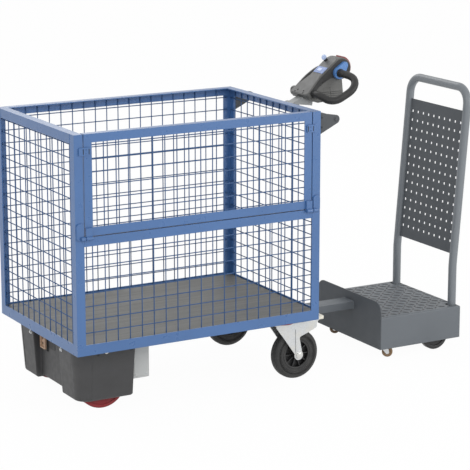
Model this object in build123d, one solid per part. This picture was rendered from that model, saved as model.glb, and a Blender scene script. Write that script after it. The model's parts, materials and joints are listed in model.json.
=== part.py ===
from build123d import *
import os
from math import cos, radians, sin

# Electric box cart with a trailing stand-on platform, in millimetres, +Z up, floor at z = 0.
# Pieces are laid out about the middle of the cart: +X runs to the operator's end, -Y is the gate side.
# At the end every piece is moved so that the origin lies on the floor under the middle of the whole vehicle.

# Clearances
PIN_CLEARANCE = 0.05
FACE_CLEARANCE = 0.3
WELD_GAP = 0.2

# Braked swivel castors at the operator's end, which set the height of the base frame
CASTOR_WHEEL_R = 100.0
CASTOR_WHEEL_WIDTH = 48.0
CASTOR_TREAD = 26.0
CASTOR_SHOULDER_R = 17.0
CASTOR_TRAIL = 55.0
CASTOR_WHEEL_ROOM = 27.7
CASTOR_FORK_STEEL = 5.0
CASTOR_FORK_GAP = 6.0
CASTOR_CROWN_R = 46.0
CASTOR_FOOT_R = 15.0
CASTOR_AXLE_D = 15.0
CASTOR_NUT_D = 22.0
CASTOR_NUT_HEIGHT = 7.0
CASTOR_SEAL_HEIGHT = 4.0
CASTOR_SEAL_R = 46.0
CASTOR_CUP_HEIGHT = 6.0
CASTOR_CUP_R = 42.0
CASTOR_KINGPIN_D = 18.0
CASTOR_PLATE_LENGTH = 135.0
CASTOR_PLATE_WIDTH = 110.0
CASTOR_PLATE = 7.0
CASTOR_HUB_D = 38.0
CASTOR_SEAT_WALL = 7.0
CASTOR_SEAT_INSET = 4.0
CASTOR_WEB = 8.0
CASTOR_RIB = 4.0
CASTOR_RIBS = 10
CASTOR_LEG_FRONT_DEPTH = 18.0
CASTOR_BRAKE_ARM = 84.0
CASTOR_BRAKE_DEPTH = 34.0
CASTOR_BRAKE_KNEE = 34.0
CASTOR_BRAKE_KNEE_DROP = 62.0
PEDAL_REACH = 178.0
PEDAL_WIDTH = 46.0
PEDAL_RISE = 8.0
PEDAL_WALL = 3.0
PEDAL_SKIRT = 14.0

# Cart box
CART_LENGTH = 1040.0
CART_WIDTH = 700.0
STEEL = 4.0
RIM_HEIGHT = 40.0
WALL_HEIGHT = 785.0
LOWER_WALL_HEIGHT = 405.0
POST_LEG = 35.0
MID_RAIL_HEIGHT = 34.0
CROSS_MEMBER_WIDTH = 40.0
CROSS_MEMBER_HEIGHT = 20.0
FIRST_CROSS_MEMBER_INSET = 65.0
DECK_THICKNESS = 15.0
DECK_GAP = 5.0
CASTOR_END_INSET = 115.0
CASTOR_SIDE_INSET = 86.0

# Welded wire mesh
WIRE = 4.0
WIRE_SIDES = 6
MESH_PITCH = 50.0
MESH_LAP = 15.0
MESH_FIRST_ROW = 43.0

# Gate, the upper half of the -Y wall, which folds out and down
GATE_GAP = 4.0
GATE_LEG = 32.0
GATE_DEPTH = 30.0
HINGE_OUT = 8.0
HINGE_DROP = 2.0
HINGE_PIN_D = 8.0
HINGE_KNUCKLE_D = 15.0
HINGE_KNUCKLE_LENGTH = 16.0
HINGE_PLATE = 5.0
HINGE_PLATE_WIDTH = 30.0
HINGE_PLATE_HEIGHT = 64.0
HINGE_PLATE_CORNER_R = 13.0
HINGE_TAB_WIDTH = 26.0
LATCH_PLATE = 5.0
LATCH_HEIGHT = 30.0
LATCH_ON_GATE = 24.0
LATCH_ON_POST = 18.0
LATCH_CORNER_R = 6.0
LATCH_DROP = 63.0

# Drive unit under the -X end
HOUSING_END_INSET = 28.0
HOUSING_LENGTH = 249.0
HOUSING_SIDE_INSET = 65.0
HOUSING_BOTTOM = 42.0
HOUSING_CORNER_R = 65.0
HOUSING_BACK_R = 14.0
HOUSING_DRAFT = 4.0
HOUSING_WALL = 6.0
HOUSING_EDGE_R = 8.0
RECESS_DEPTH = 34.0
RECESS_HALF_WIDTH = 118.0
RECESS_RAISE = 12.0
RECESS_SLOT_WIDTH = 110.0
RECESS_SLOT_HEIGHT = 42.0
RECESS_SLOT_Y = -42.0
DRIVE_WHEEL_R = 100.0
DRIVE_WHEEL_WIDTH = 44.0
DRIVE_TREAD = 14.0
DRIVE_SHOULDER_R = 6.0
DRIVE_HUB_INSET = 3.0
DRIVE_HUB_DISH_R = 60.0
DRIVE_HUB_DISH = 8.0
DRIVE_WHEEL_SETBACK = 125.0
DRIVE_WHEEL_SIDE_INSET = 67.0
DRIVE_AXLE_D = 25.0
WHEEL_WELL_CLEARANCE = 8.0
BATTERY_HEIGHT = 150.0
BATTERY_CLEARANCE = 12.0
CONTROL_BOX_GAP = 21.0
CONTROL_BOX_LENGTH = 70.0
CONTROL_BOX_SIDE_INSET = 145.0
CONTROL_BOX_BOTTOM = 82.0
CONTROL_BOX_CORNER_R = 4.0
SOCKET_INSET = 40.0
SOCKET_DROP = 54.0
SOCKET_WIDTH = 44.0
SOCKET_HEIGHT = 56.0
SOCKET_DEPTH = 12.0
SOCKET_LIP = 5.0

# Tiller
SIDE_PLATE_INSET = 18.0
SIDE_PLATE_THICKNESS = 6.0
SIDE_PLATE_DROP = 10.0
SIDE_PLATE_HEIGHT = 88.0
SIDE_PLATE_NOSE_R = 17.0
CROSSBAR_OUT = 80.0
CROSSBAR_DROP = 41.0
CROSSBAR_D = 22.0
COLLAR_D = 44.0
COLLAR_WIDTH = 64.0
STEM_WIDTH = 44.0
STEM_DEPTH = 34.0
STEM_SEAT_FRONT_U = 6.0
STEM_SEAT_BACK_U = 60.0
STEM_SEAT_N = -30.0
STEM_CHIN_N = -76.0
HEAD_RISE = 61.0
HEAD_SLOPE = 25.0
HEAD_HALF_WIDTH = 40.0
HEAD_NOSE_U = 222.0
HEAD_NOSE_N = -22.0
HEAD_NOSE_R = 36.0
HEAD_FOOT_U = -15.0
HEAD_FOOT_DROP = 2.0
HEAD_FOOT_DEPTH = 34.0
HEAD_BELLY_U = 140.0
HEAD_BELLY_N = -64.0
HEAD_EDGE_R = 6.0
BUTTON_THICKNESS = 11.0
BUTTON_WIDTH = 66.0
BUTTON_START = 73.0
BUTTON_SWEEP = 101.0
BUTTON_EDGE_R = 5.0
KNOB_D = 44.0
KNOB_WIDTH = 16.0
KNOB_WING_REACH = 30.0
KNOB_WING_D = 24.0
LOOP_TUBE_D = 28.0
LOOP_BEND_R = 42.0
LOOP_END_BEND_R = 24.0
LOOP_OUT = 159.0
LOOP_LOW_N = -89.0
LOOP_FORWARD = 14.0
LOOP_BACK_U = 112.0
LOOP_FOOT_U = 38.0
LOOP_FOOT_N = -60.0
LOOP_STUB = 24.0
LOOP_FOOT_STUB = 40.0
KEY_D = 16.0
KEY_HEIGHT = 10.0
KEY_BOW_D = 22.0
KEY_BOW = 5.0
KEY_BACK = 44.0
KEY_SUNK = 2.0

# Hitch and stand-on platform
HITCH_PIN_D = 24.0
HITCH_PLATE = 10.0
HITCH_WIDTH = 90.0
HITCH_REACH_BACK = 60.0
HITCH_NOSE = 22.0
HITCH_NOSE_R = 28.0
HITCH_PIN_HEAD = 6.0
HITCH_PIN_HEAD_D = 36.0
HITCH_GAP = 0.5
ARM_LENGTH = 366.0
ARM_BOTTOM = 170.0
ARM_HEIGHT = 30.0
ARM_WIDTH = 76.0
PLATFORM_LENGTH = 395.0
PLATFORM_HALF_WIDTH = 240.0
PLATFORM_BOTTOM = 42.0
PLATFORM_TOP = 176.0
SHEET = 3.0
SHEET_BEND_R = 6.0
KICK_PLATE = 4.0
KICK_RISE = 62.0
KICK_CORNER_R = 45.0
POST_HOLE_CLEARANCE = 6.0
BACKREST_TUBE_D = 34.0
BACKREST_INSET = 37.0
BACKREST_FOOT_RISE = 18.0
BACKREST_KNEE_Z = 345.0
BACKREST_TOP_Z = 1095.0
BACKREST_LEAN = 4.5
BACKREST_KNEE_R = 260.0
BACKREST_BEND_R = 66.0
PANEL_SHEET = 2.5
PANEL_LOW = 45.0
PANEL_HAND_GAP = 94.0
PANEL_HOLE = 10.0
PANEL_PITCH = 38.0
PANEL_SIDE_MARGIN = 12.0
PANEL_END_MARGIN = 45.0
PLATFORM_WHEEL_INSET = 112.0
PLATFORM_WHEEL_SIDE_INSET = 32.0
PLATFORM_WHEEL_R = 62.0
PLATFORM_WHEEL_WIDTH = 32.0
PLATFORM_SHOULDER_R = 7.0
PLATFORM_AXLE_D = 16.0
AXLE_HANGER = 5.0
AXLE_HANGER_WIDTH = 44.0
AXLE_HANGER_GAP = 42.0
STEP_CASTOR_INSET = 36.0
STEP_CASTOR_SIDE_INSET = 40.0
STEP_CASTOR_TRAIL = 18.0
STEP_CASTOR_TURN = -35.0
STEP_WHEEL_R = 22.0
STEP_WHEEL_WIDTH = 18.0
STEP_WHEEL_GAP = 2.0
STEP_SHOULDER_R = 4.0
STEP_WHEEL_ROOM = 9.5
STEP_AXLE_D = 8.0
STEP_KINGPIN_D = 10.0
STEP_FORK_STEEL = 2.5
STEP_CROWN_R = 18.0
STEP_PLATE = 4.0
STEP_PLATE_SIZE = 50.0
STEP_POST_D = 25.0
STEP_FOOT_R = 8.0

# Castor levels, from the floor up to the base frame
CASTOR_CROWN_BOTTOM = 2 * CASTOR_WHEEL_R + CASTOR_WHEEL_ROOM
CASTOR_CROWN_TOP = CASTOR_CROWN_BOTTOM + CASTOR_FORK_STEEL
CASTOR_SEAL_BOTTOM = CASTOR_CROWN_TOP + FACE_CLEARANCE
CASTOR_CUP_BOTTOM = CASTOR_SEAL_BOTTOM + CASTOR_SEAL_HEIGHT
CASTOR_PLATE_BOTTOM = CASTOR_CUP_BOTTOM + CASTOR_CUP_HEIGHT
RIM_BOTTOM = CASTOR_PLATE_BOTTOM + CASTOR_PLATE

# Box levels and half sizes
HALF_LENGTH = CART_LENGTH / 2
HALF_WIDTH = CART_WIDTH / 2
RIM_TOP = RIM_BOTTOM + RIM_HEIGHT
CART_HEIGHT = RIM_TOP + WALL_HEIGHT
MID_RAIL_TOP = RIM_TOP + LOWER_WALL_HEIGHT
DECK_TOP = RIM_BOTTOM + CROSS_MEMBER_HEIGHT + DECK_THICKNESS
UPRIGHT_INSET = STEEL + WELD_GAP + WIRE / 2
LEVEL_INSET = UPRIGHT_INSET + WIRE + WELD_GAP
GATE_BOTTOM = MID_RAIL_TOP + GATE_GAP
GATE_HALF = HALF_LENGTH - POST_LEG - GATE_GAP
HINGE_Y = -HALF_WIDTH - HINGE_OUT
HINGE_Z = MID_RAIL_TOP - HINGE_DROP
LATCH_Z = CART_HEIGHT - LATCH_DROP

# Castor, drive and control box places
CASTOR_AXIS_X = HALF_LENGTH - CASTOR_END_INSET
CASTOR_WHEEL_X = CASTOR_AXIS_X + CASTOR_TRAIL
CASTOR_Y = HALF_WIDTH - CASTOR_SIDE_INSET
CASTOR_FORK_INNER = CASTOR_WHEEL_WIDTH / 2 + CASTOR_FORK_GAP
CASTOR_FORK_OUTER = CASTOR_FORK_INNER + CASTOR_FORK_STEEL
HOUSING_FRONT = -HALF_LENGTH + HOUSING_END_INSET
HOUSING_BACK = HOUSING_FRONT + HOUSING_LENGTH
HOUSING_HALF_WIDTH = HALF_WIDTH - HOUSING_SIDE_INSET
RECESS_BACK = HOUSING_FRONT + RECESS_DEPTH
RECESS_FLOOR = HOUSING_BOTTOM + RECESS_RAISE
DRIVE_WHEEL_X = HOUSING_FRONT + DRIVE_WHEEL_SETBACK
DRIVE_WHEEL_Y = HOUSING_HALF_WIDTH - DRIVE_WHEEL_SIDE_INSET
CONTROL_BOX_X = HOUSING_BACK + CONTROL_BOX_GAP
CONTROL_BOX_HALF_WIDTH = HALF_WIDTH - CONTROL_BOX_SIDE_INSET
CROSS_MEMBER_X = (
    -HALF_LENGTH + FIRST_CROSS_MEMBER_INSET,
    CONTROL_BOX_X + CROSS_MEMBER_WIDTH / 2,
    (CONTROL_BOX_X + CASTOR_AXIS_X) / 2,
    CASTOR_AXIS_X,
)

# Tiller and platform places
SIDE_PLATE_Y = HALF_WIDTH - SIDE_PLATE_INSET - SIDE_PLATE_THICKNESS
CROSSBAR_X = HALF_LENGTH + CROSSBAR_OUT
CROSSBAR_Z = CART_HEIGHT - CROSSBAR_DROP
HITCH_X = HALF_LENGTH
ARM_TOP = ARM_BOTTOM + ARM_HEIGHT
PLATFORM_FRONT = HITCH_X + ARM_LENGTH + KICK_PLATE
PLATFORM_BACK = PLATFORM_FRONT + PLATFORM_LENGTH
BACKREST_Y = PLATFORM_HALF_WIDTH - BACKREST_INSET
TUBE_X = PLATFORM_BACK - SHEET - FACE_CLEARANCE - BACKREST_TUBE_D / 2
LEAN = radians(BACKREST_LEAN)
LEAN_LENGTH = (BACKREST_TOP_Z - BACKREST_TUBE_D / 2 - BACKREST_KNEE_Z) / cos(LEAN)
PANEL_HEIGHT = LEAN_LENGTH - PANEL_LOW - PANEL_HAND_GAP
PLATFORM_WHEEL_X = PLATFORM_BACK - PLATFORM_WHEEL_INSET
PLATFORM_WHEEL_Y = PLATFORM_HALF_WIDTH - PLATFORM_WHEEL_SIDE_INSET
STEP_CASTOR_X = PLATFORM_FRONT + STEP_CASTOR_INSET
STEP_CASTOR_Y = PLATFORM_HALF_WIDTH - STEP_CASTOR_SIDE_INSET
STEP_CROWN_BOTTOM = 2 * STEP_WHEEL_R + STEP_WHEEL_ROOM
STEP_CROWN_TOP = STEP_CROWN_BOTTOM + STEP_FORK_STEEL
STEP_PLATE_BOTTOM = STEP_CROWN_TOP + FACE_CLEARANCE

# Where the origin lies
REACH_BACK = TUBE_X + LEAN_LENGTH * sin(LEAN) + BACKREST_TUBE_D / 2
REACH_GATE_SIDE = HINGE_Y - HINGE_KNUCKLE_D / 2
ORIGIN_SHIFT = Pos(-(REACH_BACK - HALF_LENGTH) / 2, -(REACH_GATE_SIDE + HALF_WIDTH) / 2, 0)

# How far a cutting shape stands past the face that it cuts
OVERCUT = 1.0


# Building blocks

def block(x_low, x_high, y_low, y_high, z_low, z_high):
    """A box between two opposite corners."""
    middle = Pos((x_low + x_high) / 2, (y_low + y_high) / 2, (z_low + z_high) / 2)
    return middle * Box(x_high - x_low, y_high - y_low, z_high - z_low)


def rod_x(diameter, x_low, x_high, y, z):
    """A round bar along X."""
    return Pos((x_low + x_high) / 2, y, z) * Rot(0, 90, 0) * Cylinder(diameter / 2, x_high - x_low)


def rod_y(diameter, y_low, y_high, x, z):
    """A round bar along Y."""
    return Pos(x, (y_low + y_high) / 2, z) * Rot(90, 0, 0) * Cylinder(diameter / 2, y_high - y_low)


def rod_z(diameter, z_low, z_high, x, y):
    """A round bar along Z."""
    return Pos(x, y, (z_low + z_high) / 2) * Cylinder(diameter / 2, z_high - z_low)


def prism(plane, points, direction, length):
    """A closed straight-sided outline on a plane, carried a length along a direction."""
    return extrude(make_face(plane * Polyline(*points, close=True)), amount=length, dir=direction)


def along_x(points, x_low, x_high):
    """A (y, z) outline carried along X."""
    return Pos(x_low, 0, 0) * prism(Plane.YZ, points, (1, 0, 0), x_high - x_low)


def along_y(points, y_low, y_high):
    """An (x, z) outline carried along Y."""
    return Pos(0, y_low, 0) * prism(Plane.XZ, points, (0, 1, 0), y_high - y_low)


def along_z(points, z_low, z_high):
    """An (x, y) outline carried along Z."""
    return Pos(0, 0, z_low) * prism(Plane.XY, points, (0, 0, 1), z_high - z_low)


def sketch_y(sketch, y_low, y_high):
    """A flat sketch, its own y taken as z, carried along Y."""
    return Pos(0, y_low, 0) * extrude(Plane.XZ * sketch, amount=y_high - y_low, dir=(0, 1, 0))


def angle_outline(corner, leg_a, leg_b):
    """The L section of an angle steel: its outer corner and its two signed legs."""
    a, b = corner
    wall_a = STEEL if leg_a > 0 else -STEEL
    wall_b = STEEL if leg_b > 0 else -STEEL
    return [
        (a, b),
        (a + leg_a, b),
        (a + leg_a, b + wall_b),
        (a + wall_a, b + wall_b),
        (a + wall_a, b + leg_b),
        (a, b + leg_b),
    ]


def both_sides(make):
    """The gate side and the far side of a piece that comes in two, as solids of one node."""
    return Compound(children=[make(-1), make(1)])


def save(node, shape):
    """Write one node, moved to the vehicle's own origin."""
    export_step(ORIGIN_SHIFT * shape, f"parts/{node}.step")


# Box: base frame, deck, posts and rails

def rim_long_rail(side):
    outline = angle_outline((side * HALF_WIDTH, RIM_BOTTOM), -side * RIM_HEIGHT, RIM_HEIGHT)
    return along_x(outline, -HALF_LENGTH, HALF_LENGTH)


def rim_end_rail(end):
    outline = angle_outline((end * HALF_LENGTH, RIM_BOTTOM), -end * RIM_HEIGHT, RIM_HEIGHT)
    rail = along_y(outline, -HALF_WIDTH + RIM_HEIGHT, HALF_WIDTH - RIM_HEIGHT)
    inner = end * (HALF_LENGTH - STEEL)
    low, high = sorted((inner, end * HALF_LENGTH))
    upright_leg = block(low, high, -HALF_WIDTH + STEEL, HALF_WIDTH - STEEL, RIM_BOTTOM + STEEL, RIM_TOP)
    return rail + upright_leg


def cross_member(x):
    half = CROSS_MEMBER_WIDTH / 2
    top = RIM_BOTTOM + CROSS_MEMBER_HEIGHT
    section = [
        (x - half, RIM_BOTTOM),
        (x - half + STEEL, RIM_BOTTOM),
        (x - half + STEEL, top - STEEL),
        (x + half - STEEL, top - STEEL),
        (x + half - STEEL, RIM_BOTTOM),
        (x + half, RIM_BOTTOM),
        (x + half, top),
        (x - half, top),
    ]
    return along_y(section, -HALF_WIDTH + RIM_HEIGHT, HALF_WIDTH - RIM_HEIGHT)


def deck_panel():
    half_x = HALF_LENGTH - STEEL - DECK_GAP
    half_y = HALF_WIDTH - STEEL - DECK_GAP
    return block(-half_x, half_x, -half_y, half_y, DECK_TOP - DECK_THICKNESS, DECK_TOP)


def corner_post(end, side):
    x = end * HALF_LENGTH
    y = side * HALF_WIDTH
    post = along_z(angle_outline((x, y), -end * POST_LEG, -side * POST_LEG), RIM_TOP, CART_HEIGHT)
    x_low, x_high = sorted((x - end * STEEL, x - end * POST_LEG))
    y_low, y_high = sorted((y - side * STEEL, y - side * POST_LEG))
    return post + block(x_low, x_high, y_low, y_high, CART_HEIGHT - STEEL, CART_HEIGHT)


def top_end_rail(end):
    outline = angle_outline((end * HALF_LENGTH, CART_HEIGHT), -end * POST_LEG, -POST_LEG)
    return along_y(outline, -HALF_WIDTH + POST_LEG, HALF_WIDTH - POST_LEG)


def long_wall_rail(side, top, height):
    outline = angle_outline((side * HALF_WIDTH, top), -side * POST_LEG, -height)
    return along_x(outline, -HALF_LENGTH + POST_LEG, HALF_LENGTH - POST_LEG)


# Wire mesh: uprights lie against the rails and the level wires are welded inside them

def wire_x(x_low, x_high, y, z):
    section = Plane.YZ * Pos(y, z) * RegularPolygon(WIRE / 2, WIRE_SIDES)
    return Pos(x_low, 0, 0) * extrude(section, amount=x_high - x_low, dir=(1, 0, 0))


def wire_y(y_low, y_high, x, z):
    section = Plane.XZ * Pos(x, z) * RegularPolygon(WIRE / 2, WIRE_SIDES)
    return Pos(0, y_low, 0) * extrude(section, amount=y_high - y_low, dir=(0, 1, 0))


def wire_z(z_low, z_high, x, y):
    section = Plane.XY * Pos(x, y) * RegularPolygon(WIRE / 2, WIRE_SIDES)
    return Pos(0, 0, z_low) * extrude(section, amount=z_high - z_low, dir=(0, 0, 1))


def pitch_positions(half_span):
    """Wire places at the mesh pitch, from the middle out to the last whole step in a half span."""
    count = int(half_span // MESH_PITCH)
    return [step * MESH_PITCH for step in range(-count, count + 1)]


def row_heights(z_low, z_high):
    """Heights of the level wires that lie between two heights."""
    first = RIM_TOP + MESH_FIRST_ROW
    count = int((CART_HEIGHT - first) // MESH_PITCH)
    heights = [first + step * MESH_PITCH for step in range(count + 1)]
    return [z for z in heights if z_low + WIRE < z < z_high - WIRE]


def long_wall_mesh(side, z_low, z_high):
    half = HALF_LENGTH - POST_LEG
    y_upright = side * (HALF_WIDTH - UPRIGHT_INSET)
    y_level = side * (HALF_WIDTH - LEVEL_INSET)
    uprights = [wire_z(z_low, z_high, x, y_upright) for x in pitch_positions(half - WIRE)]
    reach = half + MESH_LAP
    levels = [wire_x(-reach, reach, y_level, z) for z in row_heights(z_low, z_high)]
    return Compound(children=uprights + levels)


def end_wall_mesh(end, z_low, z_high):
    half = HALF_WIDTH - POST_LEG
    x_upright = end * (HALF_LENGTH - UPRIGHT_INSET)
    x_level = end * (HALF_LENGTH - LEVEL_INSET)
    uprights = [wire_z(z_low, z_high, x_upright, y) for y in pitch_positions(half - WIRE)]
    reach = half + MESH_LAP
    levels = [wire_y(-reach, reach, x_level, z) for z in row_heights(z_low, z_high)]
    return Compound(children=uprights + levels)


# Gate and its fittings

def gate_frame():
    """Four mitred angle steels as one welded frame: a face ring with an edge ring behind it."""
    outer = -HALF_WIDTH
    wide = GATE_HALF - GATE_LEG
    face_ring = block(-GATE_HALF, GATE_HALF, outer, outer + STEEL, GATE_BOTTOM, CART_HEIGHT)
    face_ring -= block(-wide, wide, outer, outer + STEEL, GATE_BOTTOM + GATE_LEG, CART_HEIGHT - GATE_LEG)
    inside = GATE_HALF - STEEL
    back = outer + GATE_DEPTH
    edge_ring = block(-GATE_HALF, GATE_HALF, outer + STEEL, back, GATE_BOTTOM, CART_HEIGHT)
    edge_ring -= block(-inside, inside, outer + STEEL, back, GATE_BOTTOM + STEEL, CART_HEIGHT - STEEL)
    return face_ring + edge_ring


def gate_mesh():
    inside_low = GATE_BOTTOM + STEEL + WELD_GAP
    inside_high = CART_HEIGHT - STEEL - WELD_GAP
    y_upright = -HALF_WIDTH + UPRIGHT_INSET
    y_level = -HALF_WIDTH + LEVEL_INSET
    columns = pitch_positions(GATE_HALF - GATE_LEG)
    uprights = [wire_z(inside_low, inside_high, x, y_upright) for x in columns]
    reach = GATE_HALF - STEEL - WELD_GAP
    rows = row_heights(GATE_BOTTOM + GATE_LEG - WIRE, CART_HEIGHT - GATE_LEG + WIRE)
    levels = [wire_x(-reach, reach, y_level, z) for z in rows]
    return Compound(children=uprights + levels)


def gate_hinge(end):
    """The tab at one lower corner of the gate, with the pin that turns in the post's knuckle."""
    inner, outer = sorted((end * (GATE_HALF - HINGE_TAB_WIDTH), end * GATE_HALF))
    tab = block(inner, outer, HINGE_Y, -HALF_WIDTH, HINGE_Z, GATE_BOTTOM + GATE_LEG)
    eye = rod_x(HINGE_KNUCKLE_D, inner, outer, HINGE_Y, HINGE_Z)
    pin_end = GATE_HALF + GATE_GAP + HINGE_KNUCKLE_LENGTH
    pin_low, pin_high = sorted((end * GATE_HALF, end * pin_end))
    return tab + eye + rod_x(HINGE_PIN_D, pin_low, pin_high, HINGE_Y, HINGE_Z)


def gate_latch(end):
    """The latch plate on one stile, whose tongue stops against the post's outer face."""
    far = GATE_HALF + GATE_GAP + LATCH_ON_POST
    low, high = sorted((end * (GATE_HALF - LATCH_ON_GATE), end * far))
    bottom = LATCH_Z - LATCH_HEIGHT / 2
    top = LATCH_Z + LATCH_HEIGHT / 2
    plate = block(low, high, -HALF_WIDTH - LATCH_PLATE, -HALF_WIDTH, bottom, top)
    plate = fillet(plate.edges().filter_by(Axis.Y), LATCH_CORNER_R)
    relief_low, relief_high = sorted((end * GATE_HALF, end * (far + OVERCUT)))
    face = -HALF_WIDTH - FACE_CLEARANCE
    return plate - block(relief_low, relief_high, face, -HALF_WIDTH, bottom, top)


def hinge_plate(end):
    """The rounded plate on a post with the knuckle that carries one gate pin."""
    middle = end * (HALF_LENGTH - POST_LEG / 2)
    half = HINGE_PLATE_WIDTH / 2
    base = HINGE_Z - HINGE_KNUCKLE_D / 2
    top = base + HINGE_PLATE_HEIGHT
    plate = block(middle - half, middle + half, -HALF_WIDTH - HINGE_PLATE, -HALF_WIDTH, base, top)
    plate = fillet(plate.edges().filter_by(Axis.Y), HINGE_PLATE_CORNER_R)
    near = GATE_HALF + GATE_GAP
    low, high = sorted((end * near, end * (near + HINGE_KNUCKLE_LENGTH)))
    knuckle = rod_x(HINGE_KNUCKLE_D, low, high, HINGE_Y, HINGE_Z)
    web = block(low, high, HINGE_Y, -HALF_WIDTH, base, HINGE_Z + HINGE_KNUCKLE_D / 2)
    bore = rod_x(HINGE_PIN_D + 2 * PIN_CLEARANCE, -HALF_LENGTH, HALF_LENGTH, HINGE_Y, HINGE_Z)
    return plate + knuckle + web - bore


# Drive unit

def drive_housing():
    """Moulded cover: two wheel blocks with rounded, drafted corners and a set-back middle."""
    mid_x = (HOUSING_BACK + HOUSING_FRONT) / 2
    plan = Pos(mid_x, 0, RIM_BOTTOM) * Rectangle(HOUSING_LENGTH, 2 * HOUSING_HALF_WIDTH)
    plan = fillet(plan.vertices().group_by(Axis.X)[0], HOUSING_CORNER_R)
    plan = fillet(plan.vertices().group_by(Axis.X)[-1], HOUSING_BACK_R)
    body = extrude(plan, amount=RIM_BOTTOM - HOUSING_BOTTOM, dir=(0, 0, -1), taper=HOUSING_DRAFT)
    body = fillet(body.edges().group_by(Axis.Z)[0], HOUSING_EDGE_R)
    wide = RECESS_HALF_WIDTH
    front = HOUSING_FRONT - OVERCUT
    low = HOUSING_BOTTOM - OVERCUT
    high = RIM_BOTTOM + OVERCUT
    body -= block(front, RECESS_BACK, -wide, wide, low, high)
    body -= block(front, HOUSING_BACK + OVERCUT, -wide, wide, low, RECESS_FLOOR)
    slot_low = RECESS_SLOT_Y - RECESS_SLOT_WIDTH / 2
    slot_high = RECESS_SLOT_Y + RECESS_SLOT_WIDTH / 2
    slot_front = RECESS_BACK - OVERCUT
    slot_back = RECESS_BACK + HOUSING_WALL + OVERCUT
    body -= block(slot_front, slot_back, slot_low, slot_high, RIM_BOTTOM - RECESS_SLOT_HEIGHT, high)
    chamber = wide - HOUSING_WALL
    chamber_front = RECESS_BACK + HOUSING_WALL
    chamber_back = HOUSING_BACK - HOUSING_WALL
    body -= block(chamber_front, chamber_back, -chamber, chamber, RECESS_FLOOR + HOUSING_WALL, high)
    for side in (-1, 1):
        body -= wheel_well(side)
        body -= drive_axle(side)
    return body


def wheel_well(side):
    """The round arch over a drive wheel, open where the wheel stands out below."""
    reach = DRIVE_WHEEL_R + WHEEL_WELL_CLEARANCE
    half = DRIVE_WHEEL_WIDTH / 2 + WHEEL_WELL_CLEARANCE
    y = side * DRIVE_WHEEL_Y
    return rod_y(2 * reach, y - half, y + half, DRIVE_WHEEL_X, DRIVE_WHEEL_R)


def drive_axle(side):
    """The motor shaft that a drive wheel turns on, held in the housing's inner wall."""
    half = DRIVE_WHEEL_WIDTH / 2
    inner_wall = DRIVE_WHEEL_Y - half - WHEEL_WELL_CLEARANCE
    held = (inner_wall + RECESS_HALF_WIDTH) / 2
    low, high = sorted((side * held, side * (DRIVE_WHEEL_Y + half)))
    return rod_y(DRIVE_AXLE_D, low, high, DRIVE_WHEEL_X, DRIVE_WHEEL_R)


def ring_y(outer_r, inner_r, width, shoulder):
    """A wheel ring about the Y axis, with rounded outer shoulders."""
    section = Pos((outer_r + inner_r) / 2, 0) * Rectangle(outer_r - inner_r, width)
    section = fillet(section.vertices().group_by(Axis.X)[-1], shoulder)
    return revolve(section, Axis.Y)


def drive_place(side):
    return Pos(DRIVE_WHEEL_X, side * DRIVE_WHEEL_Y, DRIVE_WHEEL_R)


def drive_tyre(side):
    inner = DRIVE_WHEEL_R - DRIVE_TREAD
    return drive_place(side) * ring_y(DRIVE_WHEEL_R, inner, DRIVE_WHEEL_WIDTH, DRIVE_SHOULDER_R)


def drive_hub(side):
    """The wheel body inside the tread, dished on both faces."""
    seat_r = DRIVE_WHEEL_R - DRIVE_TREAD
    bore_r = DRIVE_AXLE_D / 2 + PIN_CLEARANCE
    half = DRIVE_WHEEL_WIDTH / 2 - DRIVE_HUB_INSET
    upper = [
        (bore_r, half),
        (DRIVE_AXLE_D, half),
        (DRIVE_AXLE_D + DRIVE_HUB_DISH, half - DRIVE_HUB_DISH),
        (DRIVE_HUB_DISH_R, half - DRIVE_HUB_DISH),
        (DRIVE_HUB_DISH_R + DRIVE_HUB_DISH, half),
        (seat_r, half),
    ]
    return drive_place(side) * turned_profile(upper)


def turned_profile(upper):
    """A wheel body about the Y axis from the upper half of its section, the lower half being its mirror."""
    lower = [(r, -y) for r, y in reversed(upper)]
    return revolve(make_face(Polyline(*upper, *lower, close=True)), Axis.Y)


def battery_block():
    front = RECESS_BACK + HOUSING_WALL + BATTERY_CLEARANCE
    back = HOUSING_BACK - HOUSING_WALL - BATTERY_CLEARANCE
    half = RECESS_HALF_WIDTH - HOUSING_WALL - BATTERY_CLEARANCE
    base = RECESS_FLOOR + HOUSING_WALL
    return block(front, back, -half, half, base, base + BATTERY_HEIGHT)


def control_box():
    back = CONTROL_BOX_X + CONTROL_BOX_LENGTH
    half = CONTROL_BOX_HALF_WIDTH
    box = block(CONTROL_BOX_X, back, -half, half, CONTROL_BOX_BOTTOM, RIM_BOTTOM)
    return fillet(box.edges().filter_by(Axis.Z) + box.edges().group_by(Axis.Z)[0], CONTROL_BOX_CORNER_R)


def charge_socket():
    """The charging connector on the wall of the recess: a frame with a recessed face."""
    y = RECESS_HALF_WIDTH - SOCKET_INSET
    z = RIM_BOTTOM - SOCKET_DROP
    frame = Rectangle(SOCKET_DEPTH, SOCKET_WIDTH)
    body = extrude(frame, amount=SOCKET_HEIGHT / 2, both=True)
    mouth = Box(SOCKET_DEPTH, SOCKET_WIDTH - 2 * SOCKET_LIP, SOCKET_HEIGHT - 2 * SOCKET_LIP)
    body -= Pos(-SOCKET_DEPTH / 2, 0, 0) * mouth
    return Pos(RECESS_BACK - SOCKET_DEPTH / 2, y, z) * body


# Castors

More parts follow.
